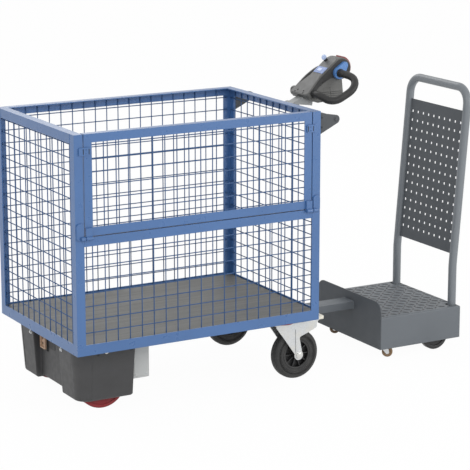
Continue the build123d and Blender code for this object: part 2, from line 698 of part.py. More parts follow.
def castor_plate(side):
    """The bolted top plate with the ball cup and the kingpin that the fork turns on."""
    y = side * CASTOR_Y
    middle = Pos(CASTOR_AXIS_X, y, RIM_BOTTOM - CASTOR_PLATE / 2)
    plate = middle * Box(CASTOR_PLATE_LENGTH, CASTOR_PLATE_WIDTH, CASTOR_PLATE)
    cup = rod_z(2 * CASTOR_CUP_R, CASTOR_CUP_BOTTOM, CASTOR_PLATE_BOTTOM, CASTOR_AXIS_X, y)
    kingpin = rod_z(CASTOR_KINGPIN_D, CASTOR_CROWN_BOTTOM, CASTOR_CUP_BOTTOM, CASTOR_AXIS_X, y)
    return plate + cup + kingpin


def castor_seal(side):
    y = side * CASTOR_Y
    bore = CASTOR_KINGPIN_D + 2 * PIN_CLEARANCE
    ring = rod_z(2 * CASTOR_SEAL_R, CASTOR_SEAL_BOTTOM, CASTOR_CUP_BOTTOM, CASTOR_AXIS_X, y)
    return ring - rod_z(bore, CASTOR_SEAL_BOTTOM, CASTOR_CUP_BOTTOM, CASTOR_AXIS_X, y)


def castor_leg():
    """One fork leg in its (x, z) plane: a taper to the axle eye and a brake arm that reaches back."""
    front = CASTOR_AXIS_X - CASTOR_CROWN_R
    back = CASTOR_WHEEL_X + CASTOR_BRAKE_ARM
    eye = Pos(CASTOR_WHEEL_X, CASTOR_WHEEL_R) * Circle(CASTOR_FOOT_R)
    crown_edge = Line((front, CASTOR_CROWN_TOP), (CASTOR_WHEEL_X, CASTOR_CROWN_TOP))
    front_edge = Line((front, CASTOR_CROWN_TOP), (front, CASTOR_CROWN_TOP - CASTOR_LEG_FRONT_DEPTH))
    taper = make_hull([crown_edge, front_edge, *eye.edges()])
    arm = make_face(
        Polyline(
            (CASTOR_AXIS_X, CASTOR_CROWN_TOP),
            (back, CASTOR_CROWN_TOP),
            (back, CASTOR_CROWN_TOP - CASTOR_BRAKE_DEPTH),
            (CASTOR_WHEEL_X + CASTOR_BRAKE_KNEE, CASTOR_CROWN_TOP - CASTOR_BRAKE_KNEE_DROP),
            (CASTOR_WHEEL_X + CASTOR_FOOT_R, CASTOR_WHEEL_R),
            (CASTOR_WHEEL_X, CASTOR_WHEEL_R),
            close=True,
        )
    )
    return taper + arm


def castor_fork(side):
    """Pressed fork: a crown, two legs with the brake arm, and the axle bolt with its nuts."""
    y = side * CASTOR_Y
    front = CASTOR_AXIS_X - CASTOR_CROWN_R
    back = CASTOR_WHEEL_X + CASTOR_BRAKE_ARM
    outer = CASTOR_FORK_OUTER
    crown = block(front, back, y - outer, y + outer, CASTOR_CROWN_BOTTOM, CASTOR_CROWN_TOP)
    fork = fillet(crown.edges().filter_by(Axis.Z).group_by(Axis.X)[0], outer - OVERCUT)
    leg = castor_leg()
    nut = Pos(CASTOR_WHEEL_X, CASTOR_WHEEL_R) * RegularPolygon(CASTOR_NUT_D / 2, 6)
    for hand in (-1, 1):
        low, high = sorted((y + hand * CASTOR_FORK_INNER, y + hand * outer))
        fork += sketch_y(leg, low, high)
        low, high = sorted((y + hand * outer, y + hand * (outer + CASTOR_NUT_HEIGHT)))
        fork += sketch_y(nut, low, high)
    fork += rod_y(CASTOR_AXLE_D, y - outer, y + outer, CASTOR_WHEEL_X, CASTOR_WHEEL_R)
    bore = CASTOR_KINGPIN_D + 2 * PIN_CLEARANCE
    low = CASTOR_CROWN_BOTTOM - OVERCUT
    return fork - rod_z(bore, low, CASTOR_CROWN_TOP + OVERCUT, CASTOR_AXIS_X, y)


def castor_pedal(side):
    """The brake pedal, a shallow channel on the end of the brake arm that rises to its tip."""
    y = side * CASTOR_Y
    start = CASTOR_WHEEL_X + CASTOR_BRAKE_ARM
    end = CASTOR_AXIS_X + PEDAL_REACH
    half = PEDAL_WIDTH / 2
    outline = [
        (start, CASTOR_CROWN_TOP),
        (end, CASTOR_CROWN_TOP + PEDAL_RISE),
        (end, CASTOR_CROWN_TOP + PEDAL_RISE - PEDAL_WALL),
        (start, CASTOR_CROWN_TOP - PEDAL_SKIRT),
    ]
    hollow = [
        (start, CASTOR_CROWN_TOP - PEDAL_WALL),
        (end, CASTOR_CROWN_TOP + PEDAL_RISE - PEDAL_WALL),
        (end, CASTOR_CROWN_TOP - PEDAL_SKIRT),
        (start, CASTOR_CROWN_TOP - PEDAL_SKIRT),
    ]
    channel = along_y(outline, y - half, y + half)
    channel -= along_y(hollow, y - half + PEDAL_WALL, y + half - PEDAL_WALL)
    return channel


def castor_place(side):
    return Pos(CASTOR_WHEEL_X, side * CASTOR_Y, CASTOR_WHEEL_R)


def castor_tyre(side):
    inner = CASTOR_WHEEL_R - CASTOR_TREAD
    return castor_place(side) * ring_y(CASTOR_WHEEL_R, inner, CASTOR_WHEEL_WIDTH, CASTOR_SHOULDER_R)


def castor_rim(side):
    """The moulded wheel centre: a hub, a web with ribs on both faces, and a seat for the tyre."""
    seat_r = CASTOR_WHEEL_R - CASTOR_TREAD
    seat_inner = seat_r - CASTOR_SEAT_WALL
    half = CASTOR_WHEEL_WIDTH / 2 - CASTOR_SEAT_INSET
    bore_r = CASTOR_AXLE_D / 2 + PIN_CLEARANCE
    hub_r = CASTOR_HUB_D / 2
    hub_half = CASTOR_FORK_INNER - FACE_CLEARANCE
    web_half = CASTOR_WEB / 2
    upper = [
        (bore_r, hub_half),
        (hub_r, hub_half),
        (hub_r, web_half),
        (seat_inner, web_half),
        (seat_inner, half),
        (seat_r, half),
    ]
    wheel = turned_profile(upper)
    rib_half = half - CASTOR_SEAT_INSET
    rib = block(hub_r - OVERCUT, seat_inner + OVERCUT, -rib_half, rib_half, -CASTOR_RIB / 2, CASTOR_RIB / 2)
    for turn in range(CASTOR_RIBS):
        wheel += Rot(0, turn * 360 / CASTOR_RIBS, 0) * rib
    return castor_place(side) * wheel


# Tiller

def head_point(u, n):
    """The (x, z) of a point along the head's length and square to its top."""
    slope = radians(HEAD_SLOPE)
    x = CROSSBAR_X + u * cos(slope) - n * sin(slope)
    z = CROSSBAR_Z + HEAD_RISE + u * sin(slope) + n * cos(slope)
    return x, z


def side_plate(side):
    """One tapering plate that stands out from the end wall and carries the crossbar."""
    low, high = sorted((side * SIDE_PLATE_Y, side * (SIDE_PLATE_Y + SIDE_PLATE_THICKNESS)))
    top = CART_HEIGHT - SIDE_PLATE_DROP
    wall_edge = Line((HALF_LENGTH, top), (HALF_LENGTH, top - SIDE_PLATE_HEIGHT))
    nose = Pos(CROSSBAR_X, CROSSBAR_Z) * Circle(SIDE_PLATE_NOSE_R)
    return sketch_y(make_hull([wall_edge, *nose.edges()]), low, high)


def crossbar():
    return rod_y(CROSSBAR_D, -SIDE_PLATE_Y, SIDE_PLATE_Y, CROSSBAR_X, CROSSBAR_Z)


def tiller_head():
    """The moulded head: a long flat top, a deep belly and a round nose, with softened side edges."""
    tip = head_point(HEAD_NOSE_U + HEAD_NOSE_R, HEAD_NOSE_N)
    nose_top = head_point(HEAD_NOSE_U, HEAD_NOSE_N + HEAD_NOSE_R)
    nose_bottom = head_point(HEAD_NOSE_U, HEAD_NOSE_N - HEAD_NOSE_R)
    sides = Polyline(
        nose_bottom,
        head_point(HEAD_BELLY_U, HEAD_BELLY_N),
        head_point(HEAD_FOOT_U, -HEAD_FOOT_DEPTH),
        head_point(HEAD_FOOT_U, -HEAD_FOOT_DROP),
        nose_top,
    )
    outline = make_face(sides + ThreePointArc(nose_top, tip, nose_bottom))
    head = sketch_y(outline, -HEAD_HALF_WIDTH, HEAD_HALF_WIDTH)
    ends = head.faces().sort_by(Axis.Y)
    return fillet(ends[0].edges() + ends[-1].edges(), HEAD_EDGE_R)


def nose_place(y=0.0):
    x, z = head_point(HEAD_NOSE_U, HEAD_NOSE_N)
    return Pos(x, y, z)


def safety_button():
    """The curved button across the upper end of the head."""
    inner_r = HEAD_NOSE_R + PIN_CLEARANCE
    section = Pos(inner_r + BUTTON_THICKNESS / 2, 0) * Rectangle(BUTTON_THICKNESS, BUTTON_WIDTH)
    section = fillet(section.vertices().group_by(Axis.X)[-1], BUTTON_EDGE_R)
    return nose_place() * Rot(0, -HEAD_SLOPE - BUTTON_START, 0) * revolve(section, Axis.Y, BUTTON_SWEEP)


def throttle_knob(side):
    """One butterfly knob: a round boss with a smaller lobe that stands up from it."""
    low, high = sorted((side * HEAD_HALF_WIDTH, side * (HEAD_HALF_WIDTH + KNOB_WIDTH)))
    boss = Pos(*head_point(HEAD_NOSE_U, HEAD_NOSE_N)) * Circle(KNOB_D / 2)
    lobe = Pos(*head_point(HEAD_NOSE_U, HEAD_NOSE_N + KNOB_WING_REACH)) * Circle(KNOB_WING_D / 2)
    return sketch_y(make_hull(boss.edges() + lobe.edges()), low, high)


def key_switch():
    """The key in its barrel on the head's top."""
    x, z = head_point(HEAD_NOSE_U - KEY_BACK, HEAD_NOSE_N + HEAD_NOSE_R)
    y = HEAD_HALF_WIDTH - KEY_D
    barrel = Pos(0, 0, KEY_HEIGHT / 2 - KEY_SUNK) * Cylinder(KEY_D / 2, KEY_HEIGHT)
    bow_z = KEY_HEIGHT + KEY_BOW_D / 2 - 2 * KEY_SUNK
    bow = Pos(0, 0, bow_z) * Rot(90, 0, 0) * Cylinder(KEY_BOW_D / 2, KEY_BOW)
    return Pos(x, y, z) * Rot(0, -HEAD_SLOPE, 0) * (barrel + bow)


LOOP_START = HEAD_HALF_WIDTH + KNOB_WIDTH
LOOP_POINTS = (
    # along the head, above its foot line, out from the middle
    (HEAD_NOSE_U, HEAD_NOSE_N, LOOP_START),
    (HEAD_NOSE_U, HEAD_NOSE_N, LOOP_START + LOOP_STUB),
    (HEAD_NOSE_U + LOOP_FORWARD, LOOP_LOW_N, LOOP_OUT),
    (LOOP_BACK_U, LOOP_LOW_N, LOOP_OUT),
    (LOOP_FOOT_U, LOOP_FOOT_N, STEM_WIDTH / 2 + LOOP_FOOT_STUB),
    (LOOP_FOOT_U, LOOP_FOOT_N, STEM_WIDTH / 2),
)


def hand_loop(side):
    """One tubular hand guard, from the throttle knob out and back to the stem."""
    points = []
    for u, n, out in LOOP_POINTS:
        x, z = head_point(u, n)
        points.append((x, side * out, z))
    radii = [LOOP_END_BEND_R, LOOP_BEND_R, LOOP_BEND_R, LOOP_END_BEND_R]
    return tube(points, radii, LOOP_TUBE_D)


def tube(points, radii, diameter):
    """A round bar bent along straight runs joined by bends."""
    path = FilletPolyline(*points, radius=radii)
    start = Plane(origin=path @ 0, z_dir=path % 0)
    return sweep(start * Circle(diameter / 2), path=path)


def tiller_stem():
    """The collar on the crossbar and the short bar up to the underside of the head."""
    half = STEM_WIDTH / 2
    collar = rod_y(COLLAR_D, -COLLAR_WIDTH / 2, COLLAR_WIDTH / 2, CROSSBAR_X, CROSSBAR_Z)
    bar = along_y(
        [
            (CROSSBAR_X - STEM_DEPTH / 2, CROSSBAR_Z),
            head_point(STEM_SEAT_FRONT_U, STEM_SEAT_N),
            head_point(STEM_SEAT_BACK_U, STEM_SEAT_N),
            head_point(STEM_SEAT_BACK_U, STEM_CHIN_N),
            (CROSSBAR_X + STEM_DEPTH / 2, CROSSBAR_Z),
        ],
        -half,
        half,
    )
    bore = rod_y(CROSSBAR_D + 2 * PIN_CLEARANCE, -COLLAR_WIDTH, COLLAR_WIDTH, CROSSBAR_X, CROSSBAR_Z)
    return collar + bar - tiller_head() - bore


# Hitch and platform

def hitch_bracket():
    """The clevis under the end rail that holds the platform's arm."""
    half = HITCH_WIDTH / 2
    jaw_low = ARM_BOTTOM - HITCH_GAP
    jaw_high = ARM_TOP + HITCH_GAP
    back = HITCH_X - HITCH_REACH_BACK
    nose = HITCH_X + HITCH_NOSE
    side_view = [
        (back - HITCH_PLATE, RIM_BOTTOM),
        (back - HITCH_PLATE, jaw_low - HITCH_PLATE),
        (nose, jaw_low - HITCH_PLATE),
        (nose, jaw_low),
        (back, jaw_low),
        (back, jaw_high),
        (nose, jaw_high),
        (nose, jaw_high + HITCH_PLATE),
        (HALF_LENGTH, RIM_BOTTOM),
    ]
    body = along_y(side_view, -half, half)
    body = fillet(body.edges().filter_by(Axis.Z).group_by(Axis.X)[-1], HITCH_NOSE_R)
    bore = HITCH_PIN_D + 2 * PIN_CLEARANCE
    return body - rod_z(bore, jaw_low - HITCH_PLATE - OVERCUT, RIM_BOTTOM + OVERCUT, HITCH_X, 0)


def hitch_pin():
    low = ARM_BOTTOM - HITCH_GAP - HITCH_PLATE
    high = ARM_TOP + HITCH_GAP + HITCH_PLATE
    shank = rod_z(HITCH_PIN_D, low, high, HITCH_X, 0)
    return shank + rod_z(HITCH_PIN_HEAD_D, low - HITCH_PIN_HEAD, low, HITCH_X, 0)


def platform_arm():
    half = ARM_WIDTH / 2
    arm = block(HITCH_X, HITCH_X + ARM_LENGTH, -half, half, ARM_BOTTOM, ARM_TOP)
    arm += rod_z(ARM_WIDTH, ARM_BOTTOM, ARM_TOP, HITCH_X, 0)
    bore = HITCH_PIN_D + 2 * PIN_CLEARANCE
    return arm - rod_z(bore, ARM_BOTTOM - OVERCUT, ARM_TOP + OVERCUT, HITCH_X, 0)


def kick_plate():
    wide = PLATFORM_HALF_WIDTH
    front = PLATFORM_FRONT - KICK_PLATE
    plate = block(front, PLATFORM_FRONT, -wide, wide, PLATFORM_BOTTOM, PLATFORM_TOP + KICK_RISE)
    return fillet(plate.edges().filter_by(Axis.X).group_by(Axis.Z)[-1], KICK_CORNER_R)


def bent_block(x_low, x_high, half_width, z_low, z_high, bend_r):
    """A block with rounded top and back edges, as sheet takes when it is folded down on three sides."""
    body = block(x_low, x_high, -half_width, half_width, z_low, z_high)
    back_uprights = body.edges().filter_by(Axis.Z).group_by(Axis.X)[-1]
    top_sides = body.edges().filter_by(Axis.X).group_by(Axis.Z)[-1]
    top_back = body.edges().filter_by(Axis.Y).group_by(Axis.Z)[-1].sort_by(Axis.X)[-1:]
    return fillet(back_uprights + top_sides + top_back, bend_r)


def platform_box():
    """Folded sheet: the standing deck and three skirts, open below, with holes for the posts."""
    wide = PLATFORM_HALF_WIDTH
    box = bent_block(PLATFORM_FRONT, PLATFORM_BACK, wide, PLATFORM_BOTTOM, PLATFORM_TOP, SHEET_BEND_R)
    front = PLATFORM_FRONT - OVERCUT
    low = PLATFORM_BOTTOM - OVERCUT
    inner_top = PLATFORM_TOP - SHEET
    inner_r = SHEET_BEND_R - SHEET
    box -= bent_block(front, PLATFORM_BACK - SHEET, wide - SHEET, low, inner_top, inner_r)
    half = BACKREST_TUBE_D / 2 + POST_HOLE_CLEARANCE
    hole_front = TUBE_X - half
    hole_back = PLATFORM_BACK - SHEET
    high = PLATFORM_TOP + OVERCUT
    for side in (-1, 1):
        y = side * BACKREST_Y
        box -= block(hole_front, hole_back, y - half, y + half, inner_top - inner_r, high)
    return box


def leaning(distance, y=0.0):
    """A point a distance up the leaning part of the backrest."""
    return (TUBE_X + distance * sin(LEAN), y, BACKREST_KNEE_Z + distance * cos(LEAN))


def backrest_tube():
    foot = PLATFORM_BOTTOM + BACKREST_FOOT_RISE
    points = [
        (TUBE_X, -BACKREST_Y, foot),
        (TUBE_X, -BACKREST_Y, BACKREST_KNEE_Z),
        leaning(LEAN_LENGTH, -BACKREST_Y),
        leaning(LEAN_LENGTH, BACKREST_Y),
        (TUBE_X, BACKREST_Y, BACKREST_KNEE_Z),
        (TUBE_X, BACKREST_Y, foot),
    ]
    radii = [BACKREST_KNEE_R, BACKREST_BEND_R, BACKREST_BEND_R, BACKREST_KNEE_R]
    return tube(points, radii, BACKREST_TUBE_D)


def backrest_panel():
    """The perforated sheet between the posts, in the plane of the leaning tubes."""
    width = 2 * (BACKREST_Y - BACKREST_TUBE_D / 2 - PIN_CLEARANCE)
    columns = int((width - 2 * PANEL_SIDE_MARGIN) // PANEL_PITCH) + 1
    rows = int((PANEL_HEIGHT - 2 * PANEL_END_MARGIN) // PANEL_PITCH) + 1
    hole = Rectangle(PANEL_HOLE, PANEL_HOLE).wire()
    grid = GridLocations(PANEL_PITCH, PANEL_PITCH, columns, rows)
    sheet = Face(Rectangle(width, PANEL_HEIGHT).wire(), [place * hole for place in grid])
    flat = Pos(0, 0, -PANEL_SHEET / 2) * extrude(sheet, amount=PANEL_SHEET)
    middle = leaning(PANEL_LOW + PANEL_HEIGHT / 2)
    return Plane(origin=middle, x_dir=(0, 1, 0), z_dir=(cos(LEAN), 0, -sin(LEAN))) * flat


def platform_axle():
    """The through axle and the two hangers that drop from under the deck."""
    end = PLATFORM_WHEEL_Y + PLATFORM_WHEEL_WIDTH / 2
    axle = rod_y(PLATFORM_AXLE_D, -end, end, PLATFORM_WHEEL_X, PLATFORM_WHEEL_R)
    deck = PLATFORM_TOP - SHEET
    half = AXLE_HANGER_WIDTH / 2
    deck_edge = Line((PLATFORM_WHEEL_X - half, deck), (PLATFORM_WHEEL_X + half, deck))
    eye = Pos(PLATFORM_WHEEL_X, PLATFORM_WHEEL_R) * Circle(PLATFORM_AXLE_D)
    hanger = make_hull([deck_edge, *eye.edges()])
    inner = PLATFORM_WHEEL_Y - PLATFORM_WHEEL_WIDTH / 2 - AXLE_HANGER_GAP
    for side in (-1, 1):
        low, high = sorted((side * inner, side * (inner - AXLE_HANGER)))
        axle += sketch_y(hanger, low, high)
    return axle


def platform_wheel(side):
    bore = PLATFORM_AXLE_D / 2 + PIN_CLEARANCE
    wheel = ring_y(PLATFORM_WHEEL_R, bore, PLATFORM_WHEEL_WIDTH, PLATFORM_SHOULDER_R)
    return Pos(PLATFORM_WHEEL_X, side * PLATFORM_WHEEL_Y, PLATFORM_WHEEL_R) * wheel


def turned(side, shape):
    """A step castor's piece, made about its swivel axis, put in place and turned as it trails."""
    return Pos(STEP_CASTOR_X, side * STEP_CASTOR_Y, 0) * Rot(0, 0, STEP_CASTOR_TURN) * shape


def step_castor_plate(side):
    """The mounting post under the deck with the kingpin of one small castor."""
    half = STEP_PLATE_SIZE / 2
    stand = block(-half, half, -half, half, STEP_PLATE_BOTTOM, STEP_PLATE_BOTTOM + STEP_PLATE)
    stand += rod_z(STEP_POST_D, STEP_PLATE_BOTTOM, PLATFORM_TOP - SHEET, 0, 0)
    stand += rod_z(STEP_KINGPIN_D, STEP_CROWN_BOTTOM, STEP_PLATE_BOTTOM, 0, 0)
    return Pos(STEP_CASTOR_X, side * STEP_CASTOR_Y, 0) * stand


def step_castor_fork(side):
    inner = STEP_WHEEL_WIDTH / 2 + STEP_WHEEL_GAP
    outer = inner + STEP_FORK_STEEL
    crown_edge = Line((-STEP_CROWN_R, STEP_CROWN_TOP), (STEP_CROWN_R, STEP_CROWN_TOP))
    eye = Pos(STEP_CASTOR_TRAIL, STEP_WHEEL_R) * Circle(STEP_FOOT_R)
    leg = make_hull([crown_edge, *eye.edges()])
    fork = block(-STEP_CROWN_R, STEP_CROWN_R, -outer, outer, STEP_CROWN_BOTTOM, STEP_CROWN_TOP)
    for hand in (-1, 1):
        low, high = sorted((hand * inner, hand * outer))
        fork += sketch_y(leg, low, high)
    fork += rod_y(STEP_AXLE_D, -outer, outer, STEP_CASTOR_TRAIL, STEP_WHEEL_R)
    bore = STEP_KINGPIN_D + 2 * PIN_CLEARANCE
    return turned(side, fork - rod_z(bore, STEP_CROWN_BOTTOM - OVERCUT, STEP_CROWN_TOP + OVERCUT, 0, 0))


def step_castor_wheel(side):
    bore = STEP_AXLE_D / 2 + PIN_CLEARANCE
    wheel = ring_y(STEP_WHEEL_R, bore, STEP_WHEEL_WIDTH, STEP_SHOULDER_R)
    return turned(side, Pos(STEP_CASTOR_TRAIL, 0, STEP_WHEEL_R) * wheel)


def main():
    os.makedirs("parts", exist_ok=True)

    save("rim_long_rails", both_sides(rim_long_rail))
    save("rim_end_rails", both_sides(rim_end_rail))
    save("cross_members", Compound(children=[cross_member(x) for x in CROSS_MEMBER_X]))
    save("deck_panel", deck_panel())
    save("corner_posts", Compound(children=[corner_post(end, side) for end in (-1, 1) for side in (-1, 1)]))
    rails = [top_end_rail(-1), top_end_rail(1), long_wall_rail(1, CART_HEIGHT, POST_LEG)]
    rails.append(long_wall_rail(-1, MID_RAIL_TOP, MID_RAIL_HEIGHT))
    save("wall_rails", Compound(children=rails))
    mesh_low = DECK_TOP + WELD_GAP
    mesh_high = CART_HEIGHT - STEEL - WELD_GAP
    save("back_mesh", long_wall_mesh(1, mesh_low, mesh_high))
    save("left_mesh", end_wall_mesh(-1, mesh_low, mesh_high))
    save("right_mesh", end_wall_mesh(1, mesh_low, mesh_high))
    save("front_mesh", long_wall_mesh(-1, mesh_low, MID_RAIL_TOP - STEEL - WELD_GAP))

    save("gate_frame", gate_frame())
    save("gate_mesh", gate_mesh())
    save("gate_hinges", both_sides(gate_hinge))
    save("gate_latches", both_sides(gate_latch))
    save("hinge_plates", both_sides(hinge_plate))

    save("drive_housing", drive_housing())
    save("battery_block", battery_block())
    save("control_box", control_box())
    save("charge_socket", charge_socket())
    save("drive_axles", both_sides(drive_axle))

    save("castor_plates", both_sides(castor_plate))
    save("castor_seals", both_sides(castor_seal))

    save("tiller_side_plates", both_sides(side_plate))
    save("tiller_crossbar", crossbar())
    save("tiller_stem", tiller_stem())
    save("tiller_head", tiller_head())
    save("tiller_loops", both_sides(hand_loop))
    save("throttle_knobs", both_sides(throttle_knob))
    save("safety_button", safety_button())
    save("key_switch", key_switch())

    save("hitch_bracket", hitch_bracket())
    save("hitch_pin", hitch_pin())
    save("platform_arm", platform_arm())
    save("platform_box", platform_box())
    save("kick_plate", kick_plate())
    save("backrest_tube", backrest_tube())
    save("backrest_panel", backrest_panel())
    save("platform_axle", platform_axle())
    save("step_castor_plates", both_sides(step_castor_plate))

    for side, name in ((-1, "near"), (1, "far")):
        save(f"drive_tyre_{name}", drive_tyre(side))
        save(f"drive_hub_{name}", drive_hub(side))
        save(f"castor_fork_{name}", castor_fork(side))
        save(f"castor_pedal_{name}", castor_pedal(side))
        save(f"castor_tyre_{name}", castor_tyre(side))
        save(f"castor_rim_{name}", castor_rim(side))
        save(f"platform_wheel_{name}", platform_wheel(side))
        save(f"step_castor_fork_{name}", step_castor_fork(side))
        save(f"step_castor_wheel_{name}", step_castor_wheel(side))


main()
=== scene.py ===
import json
import math
from contextlib import contextmanager

import bmesh
import bpy
from mathutils import Matrix, Vector
from mathutils.bvhtree import BVHTree


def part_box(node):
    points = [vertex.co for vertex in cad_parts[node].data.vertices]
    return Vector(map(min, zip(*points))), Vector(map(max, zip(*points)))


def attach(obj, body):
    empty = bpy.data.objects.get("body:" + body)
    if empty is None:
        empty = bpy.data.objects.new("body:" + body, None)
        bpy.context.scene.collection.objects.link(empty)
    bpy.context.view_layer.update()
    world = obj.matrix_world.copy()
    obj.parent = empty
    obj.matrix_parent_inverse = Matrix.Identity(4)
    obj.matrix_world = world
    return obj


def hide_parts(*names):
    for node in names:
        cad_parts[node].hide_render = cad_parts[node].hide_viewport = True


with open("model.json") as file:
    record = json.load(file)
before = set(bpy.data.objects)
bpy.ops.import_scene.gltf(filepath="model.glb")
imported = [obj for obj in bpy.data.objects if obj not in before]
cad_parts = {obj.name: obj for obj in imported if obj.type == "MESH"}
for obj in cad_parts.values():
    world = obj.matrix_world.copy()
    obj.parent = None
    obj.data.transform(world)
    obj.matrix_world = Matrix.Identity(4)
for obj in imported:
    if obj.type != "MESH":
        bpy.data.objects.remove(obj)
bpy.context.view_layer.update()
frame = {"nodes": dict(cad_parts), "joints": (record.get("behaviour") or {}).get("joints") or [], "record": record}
scene = bpy.context.scene
nodes = frame["nodes"]
joints = {joint["name"]: joint for joint in frame["joints"]}

# Sizes are in metres, in the part's own frame
MM = 0.001
TINY = 1e-7
MERGE_DISTANCE = 1e-6
SIDES = ("near", "far")
BOTH = (-1, 1)


def millimetres(*rows):
    """Rows of numbers in millimetres, as tuples in metres."""
    return [tuple(value * MM for value in row) for row in rows]


# Camera at the photograph's place
CAMERA_AT = (-3.8689, -6.6605, 2.3452)
CAMERA_AZIMUTH = math.radians(29.686)
CAMERA_ELEVATION = math.radians(13.245)
CAMERA_REACH = 100
FOCAL_PIXELS = 1978.2
IMAGE_PIXELS = 470
SENSOR_MM = 36.0

# Light
WHITE = (1, 1, 1, 1)
AMBIENT = 0.75
FLOOR_COLOUR = (0.9, 0.9, 0.9, 1)
FLOOR_WHITENESS = 0.97
FLOOR_HALF = 30.0
LAMPS = (
    # name, place, aimed at, size, watts
    ("key", (-3.2, -4.8, 3.4), (0.0, 0.0, 0.5), 3.0, 84),
    ("fill", (2.8, -3.6, 1.9), (0.3, 0.0, 0.5), 2.6, 56),
    ("rim", (0.5, 4.8, 4.0), (0.0, 0.0, 0.6), 3.0, 60),
)

# Materials: the ranges that masks are taken from, and the layers in the board's edge
NOISE_RANGE = (0.3, 0.7)
SPECK_RANGE = (0.35, 0.65)
PATCH_RANGE = (0.45, 0.75)
EDGE_RANGE = (0.98, 0.8)
PRINT_RANGE = (0.0, 0.12)
FACE_RANGE = (0.4, 0.6)
PLY_FREQUENCY = 3600.0

# Fineness of round forms
BAR_STEPS = 12
THIN_BAR_STEPS = 8
HEXAGON = 6
WASHER_STEPS = 20
SCREW_STEPS = 12
BEAD_STEPS = 8
CORNER_STEPS = 4
BEND_STEPS = 8
TUBE_SIDES = 24
WHEEL_STEPS = 72
EDGE_SEGMENTS = 3

# Fasteners and welds, in shares of their own size where no unit stands
BAR_EDGE = 0.3
WASHER_THICKNESS = 1.2 * MM
WASHER_SHARE = 0.85
BOLT_CHAMFER = 0.15
BOLT_CROWN = 0.84
SCREW_FORM = ((0, 0), (1, 0), (0.95, 0.45), (0.62, 0.7), (0.42, 0.72), (0.40, 0.3), (0, 0.3))
WELD_RIPPLE = 3.0 * MM
WELD_WAIST = 0.82
NUGGET_R = 2.5 * MM
NUGGET_FORM = ((0, -1), (0.7, -0.6), (1, 0), (0.7, 0.6), (0, 1))

# Tear plate on the standing deck
LUG_LENGTH = 35 * MM
LUG_WIDTH = 11 * MM
LUG_HEIGHT = 2.6 * MM
LUG_PITCH = 30 * MM
LUG_MARGIN = 16 * MM
LUG_ANGLE = math.radians(45)
LUG_RIDGE = 0.55
LUG_FORM = (
    # share of the length, of the width and of the height
    (-1.0, 0.0, 0.0),
    (-0.6, 0.62, 0.75),
    (0.0, 1.0, 1.0),
    (0.6, 0.62, 0.75),
    (1.0, 0.0, 0.0),
)
POST_ROOM_X = 58 * MM
POST_ROOM_Y = 64 * MM

# Castor wheels; points go out from the tyre's seat or a flange's rim, and in from the tyre's face
TYRE_DEPTH = 26 * MM
TYRE_LIP = 0.80
TYRE_SHOULDER = 17 * MM
TYRE_SHOULDER_STEPS = 8
TYRE_WALL = millimetres((2, 1), (3.2, 0.2), (4.1, 2.4), (5, 0), (6.2, 0.2), (7.1, 2.4), (8, 0))
MOULD_LINE_HEIGHT = 0.3 * MM
MOULD_LINE_HALF = 0.9 * MM
FLANGE_INNER_R = 52 * MM
FLANGE_DEPTH = 25.5 * MM
FLANGE_INSIDE = millimetres((0, 9), (0, 3), (6, 2), (8, 3.6), (10, 2))
FLANGE_OUTSIDE = millimetres((-5, 2), (-3, 3.6), (0, 2), (0, 9))

# Rollers
HUB_RECESS = 1.2 * MM
RIM_STEP = 1 * MM
RIM_SLOPE = 2 * MM
ROLLER_SHOULDER_STEPS = 6
ROLLERS = (
    # body, node, joint, finish, rim's share of the radius, steps
    # and in millimetres: half width, bore, hub, shoulder, dish
    ("platform_roller", "platform_wheel", "platform_roll", "wheel_black", 0.74, 56, (16, 8.6, 17, 7, 5)),
    ("step_roller", "step_castor_wheel", "step_roll", "step_amber", 0.66, 40, (9, 4.6, 8, 4, 2)),
)

# Castor forks, with the axle as origin
FORK_SHEET = 4 * MM
FORK_SHEET_EDGE = 0.8 * MM
FORK_END_R = 19 * MM
FORK_END_ANGLES = (190, 350)
FORK_END_STEPS = 8
FORK_LIP = 9 * MM
FORK_SHIN = (-0.98 * FORK_END_R, 7 * MM)
FORK_ARM = millimetres((5, 66), (6, 72), (11, 76), (46, 88))
FORK_ARM_END = 3 * MM
FORK_ARM_HEIGHTS = (103 * MM, 108 * MM)
CROWN_INSET = 1 * MM
CROWN_CORNER_R = 6 * MM
CROWN_THICKNESS = 5 * MM
CROWN_EDGE = 1 * MM
AXLE_R = 7 * MM
AXLE_STEPS = 20
BOLT_HEAD = 7 * MM
NUT_HEIGHT = 7 * MM
CASTOR_NUT = 23 * MM
PLATFORM_NUT = 19 * MM

# Castor plates, brake pedals, clips and folds; a bolt's two numbers are its width and height
CASTOR_PLATE = 7 * MM
PLATE_BOLT_ALONG = 53 * MM
PLATE_BOLT_ACROSS = 42 * MM
PLATE_BOLT = (13 * MM, 5.5 * MM)
TIP_LONGER = 5 * MM
TIP_WIDER = 3 * MM
TIP_CORNER_R = 7 * MM
TIP_BACK = 1 * MM
TIP_PROUD = 1.5 * MM
TIP_THICKNESS = 12.5 * MM
TIP_EDGE = 2.5 * MM
TIP_RIBS = (-12 * MM, -5 * MM, 2 * MM, 9 * MM)
TIP_RIB_MARGIN = 8 * MM
TIP_RIB_R = 1.3 * MM
CLIP_OUTLINE = (19 * MM, 30 * MM, 4 * MM)
CLIP_BACK = 13 * MM
CLIP_DROP = 2 * MM
CLIP_SHEET = (9 * MM, 2 * MM)
FOLD_LOW = (-14 * MM, 4 * MM)
FOLD_TOP = (-15 * MM, -26 * MM)
FOLD_R = 1.5 * MM

